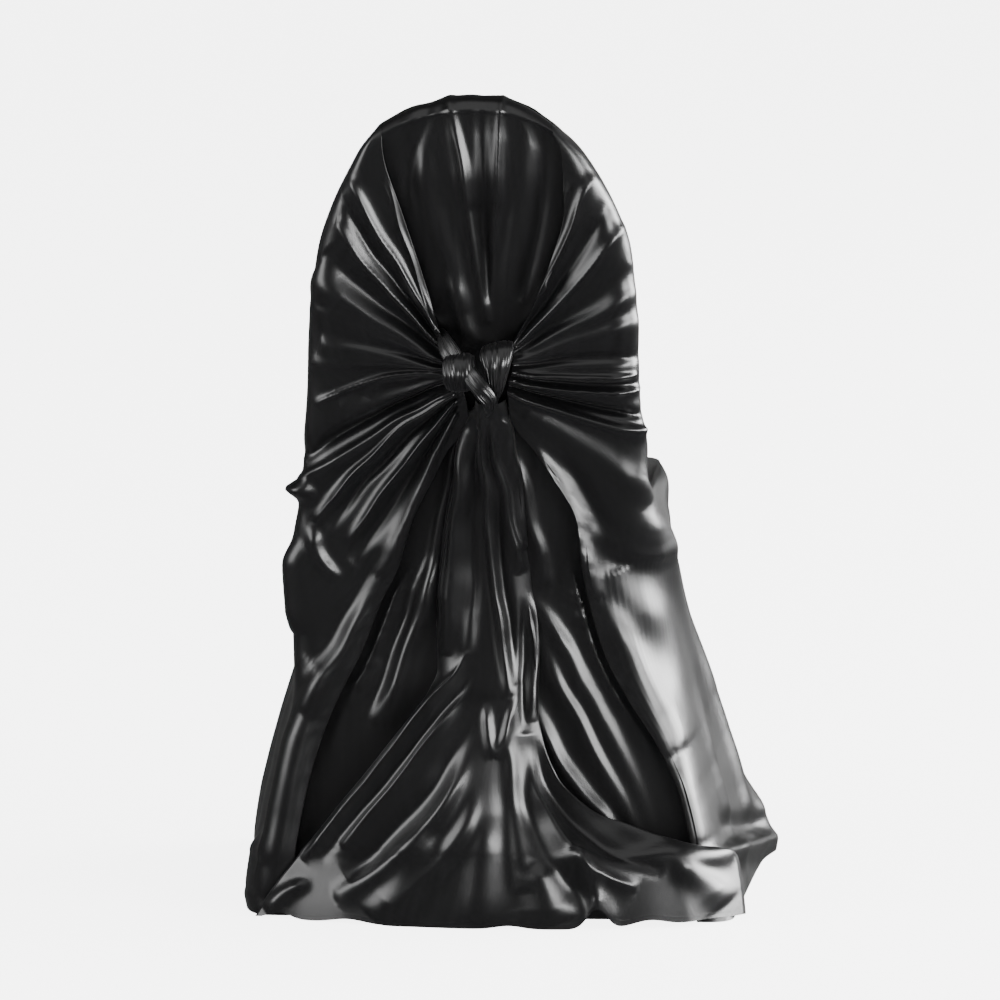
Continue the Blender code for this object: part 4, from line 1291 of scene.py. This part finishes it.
@dataclass
class Studio:
    """White floor and backdrop, soft lights and the camera behind the backrest."""

    azimuth: float = math.radians(5)
    elevation: float = math.radians(9)
    distance: float = 14.0
    view_width: float = 1.14
    target: tuple = (0.024, -0.1675, 0.478)
    floor_glow: float = 5.0
    world_strength: float = 0.05

    def direction(self) -> Vector:
        """Unit vector from the target to the camera."""
        a, e = self.azimuth, self.elevation
        return Vector((math.sin(a) * math.cos(e), -math.cos(a) * math.cos(e), math.sin(e)))

    def camera(self) -> bpy.types.Object:
        """Makes the scene's camera."""
        lens = bpy.data.cameras.new("camera")
        lens.sensor_width = 36
        lens.lens = lens.sensor_width * self.distance / self.view_width
        camera = bpy.data.objects.new("camera", lens)
        camera.location = Vector(self.target) + self.direction() * self.distance
        camera.rotation_euler = (-self.direction()).to_track_quat("-Z", "Y").to_euler()
        bpy.context.scene.collection.objects.link(camera)
        bpy.context.scene.camera = camera
        return camera

    def softbox(self, name: str, place: tuple, size: tuple, power: float) -> bpy.types.Object:
        """A soft area light aimed at the cover.

        Args:
            name: Name of the light.
            place: Where it stands.
            size: Its width and height in metres.
            power: Its power in watts.

        Returns:
            The light.
        """
        data = bpy.data.lights.new(name, "AREA")
        data.shape = "RECTANGLE"
        data.size, data.size_y = size
        data.energy = power
        light = bpy.data.objects.new(name, data)
        light.visible_camera = False
        light.location = place
        aim = Vector(self.target) - Vector(place)
        light.rotation_euler = aim.to_track_quat("-Z", "Y").to_euler()
        bpy.context.scene.collection.objects.link(light)
        return light

    def floor(self) -> bpy.types.Object:
        """The pale floor, which curves up into a backdrop far behind."""
        half, front, back, turn, wall, steps = 22.0, -22.0, 18.0, 2.0, 7.0, 16
        profile = [(front, 0.0), (back, 0.0)]
        profile += [(back + turn * math.sin(t), turn * (1 - math.cos(t)))
                    for t in np.linspace(0, math.pi / 2, steps)[1:]]
        profile.append((back + turn, wall))
        verts = [(x, y, z - 0.0005) for y, z in profile for x in (-half, half)]
        faces = [(2 * i, 2 * i + 1, 2 * i + 3, 2 * i + 2) for i in range(len(profile) - 1)]
        mesh = bpy.data.meshes.new("floor")
        mesh.from_pydata(verts, [], faces)
        mesh.shade_smooth()
        material = bpy.data.materials.new("floor white")
        material.use_nodes = True
        nodes, links = material.node_tree.nodes, material.node_tree.links
        shader = nodes["Principled BSDF"]
        noise = nodes.new("ShaderNodeTexNoise")
        noise.inputs["Scale"].default_value = 3.0
        ramp = nodes.new("ShaderNodeValToRGB")
        ramp.color_ramp.elements[0].color = (0.86, 0.86, 0.86, 1)
        ramp.color_ramp.elements[1].color = (0.90, 0.90, 0.90, 1)
        links.new(noise.outputs["Fac"], ramp.inputs["Fac"])
        links.new(ramp.outputs["Color"], shader.inputs["Base Color"])
        shader.inputs["Roughness"].default_value = 0.9
        shader.inputs["Specular IOR Level"].default_value = 0.1
        shader.inputs["Emission Color"].default_value = (1, 1, 1, 1)
        shader.inputs["Emission Strength"].default_value = self.floor_glow
        mesh.materials.append(material)
        floor = bpy.data.objects.new("floor", mesh)
        floor.visible_glossy = False
        bpy.context.scene.collection.objects.link(floor)
        return floor

    def world(self) -> None:
        """Even light from all round, dim enough to leave the folds dark."""
        world = bpy.data.worlds.new("studio")
        world.use_nodes = True
        back = world.node_tree.nodes["Background"]
        back.inputs["Color"].default_value = (1, 1, 1, 1)
        back.inputs["Strength"].default_value = self.world_strength
        bpy.context.scene.world = world

    def build(self) -> None:
        """Sets up the floor, the lights and the camera."""
        self.world()
        self.floor()
        self.softbox("right softbox", (5.2, -3.0, 2.0), (5.6, 1.5), 560)
        self.softbox("right side softbox", (5.5, 2.8, 1.65), (5.4, 2.4), 1050)
        self.softbox("left softbox", (-2.5, -1.5, 1.5), (1.7, 1.9), 60)
        self.softbox("top softbox", (0.0, -1.0, 2.7), (2.8, 2.4), 16)
        self.camera()


def main() -> None:
    """Builds every piece of the cover, then its setting."""
    logging.basicConfig(level=logging.INFO, format="%(name)s: %(message)s")
    for maker in (Wrap(), HoodBack(), TiedTail(), SashKnot()):
        made = maker.build()
        for piece in made if isinstance(made, list) else [made]:
            area = sum(face.area for face in piece.data.polygons)
            log.info("%s: %d faces, %.3f square metres", piece.name, len(piece.data.polygons), area)
    Studio().build()


if __name__ == "__main__":
    main()
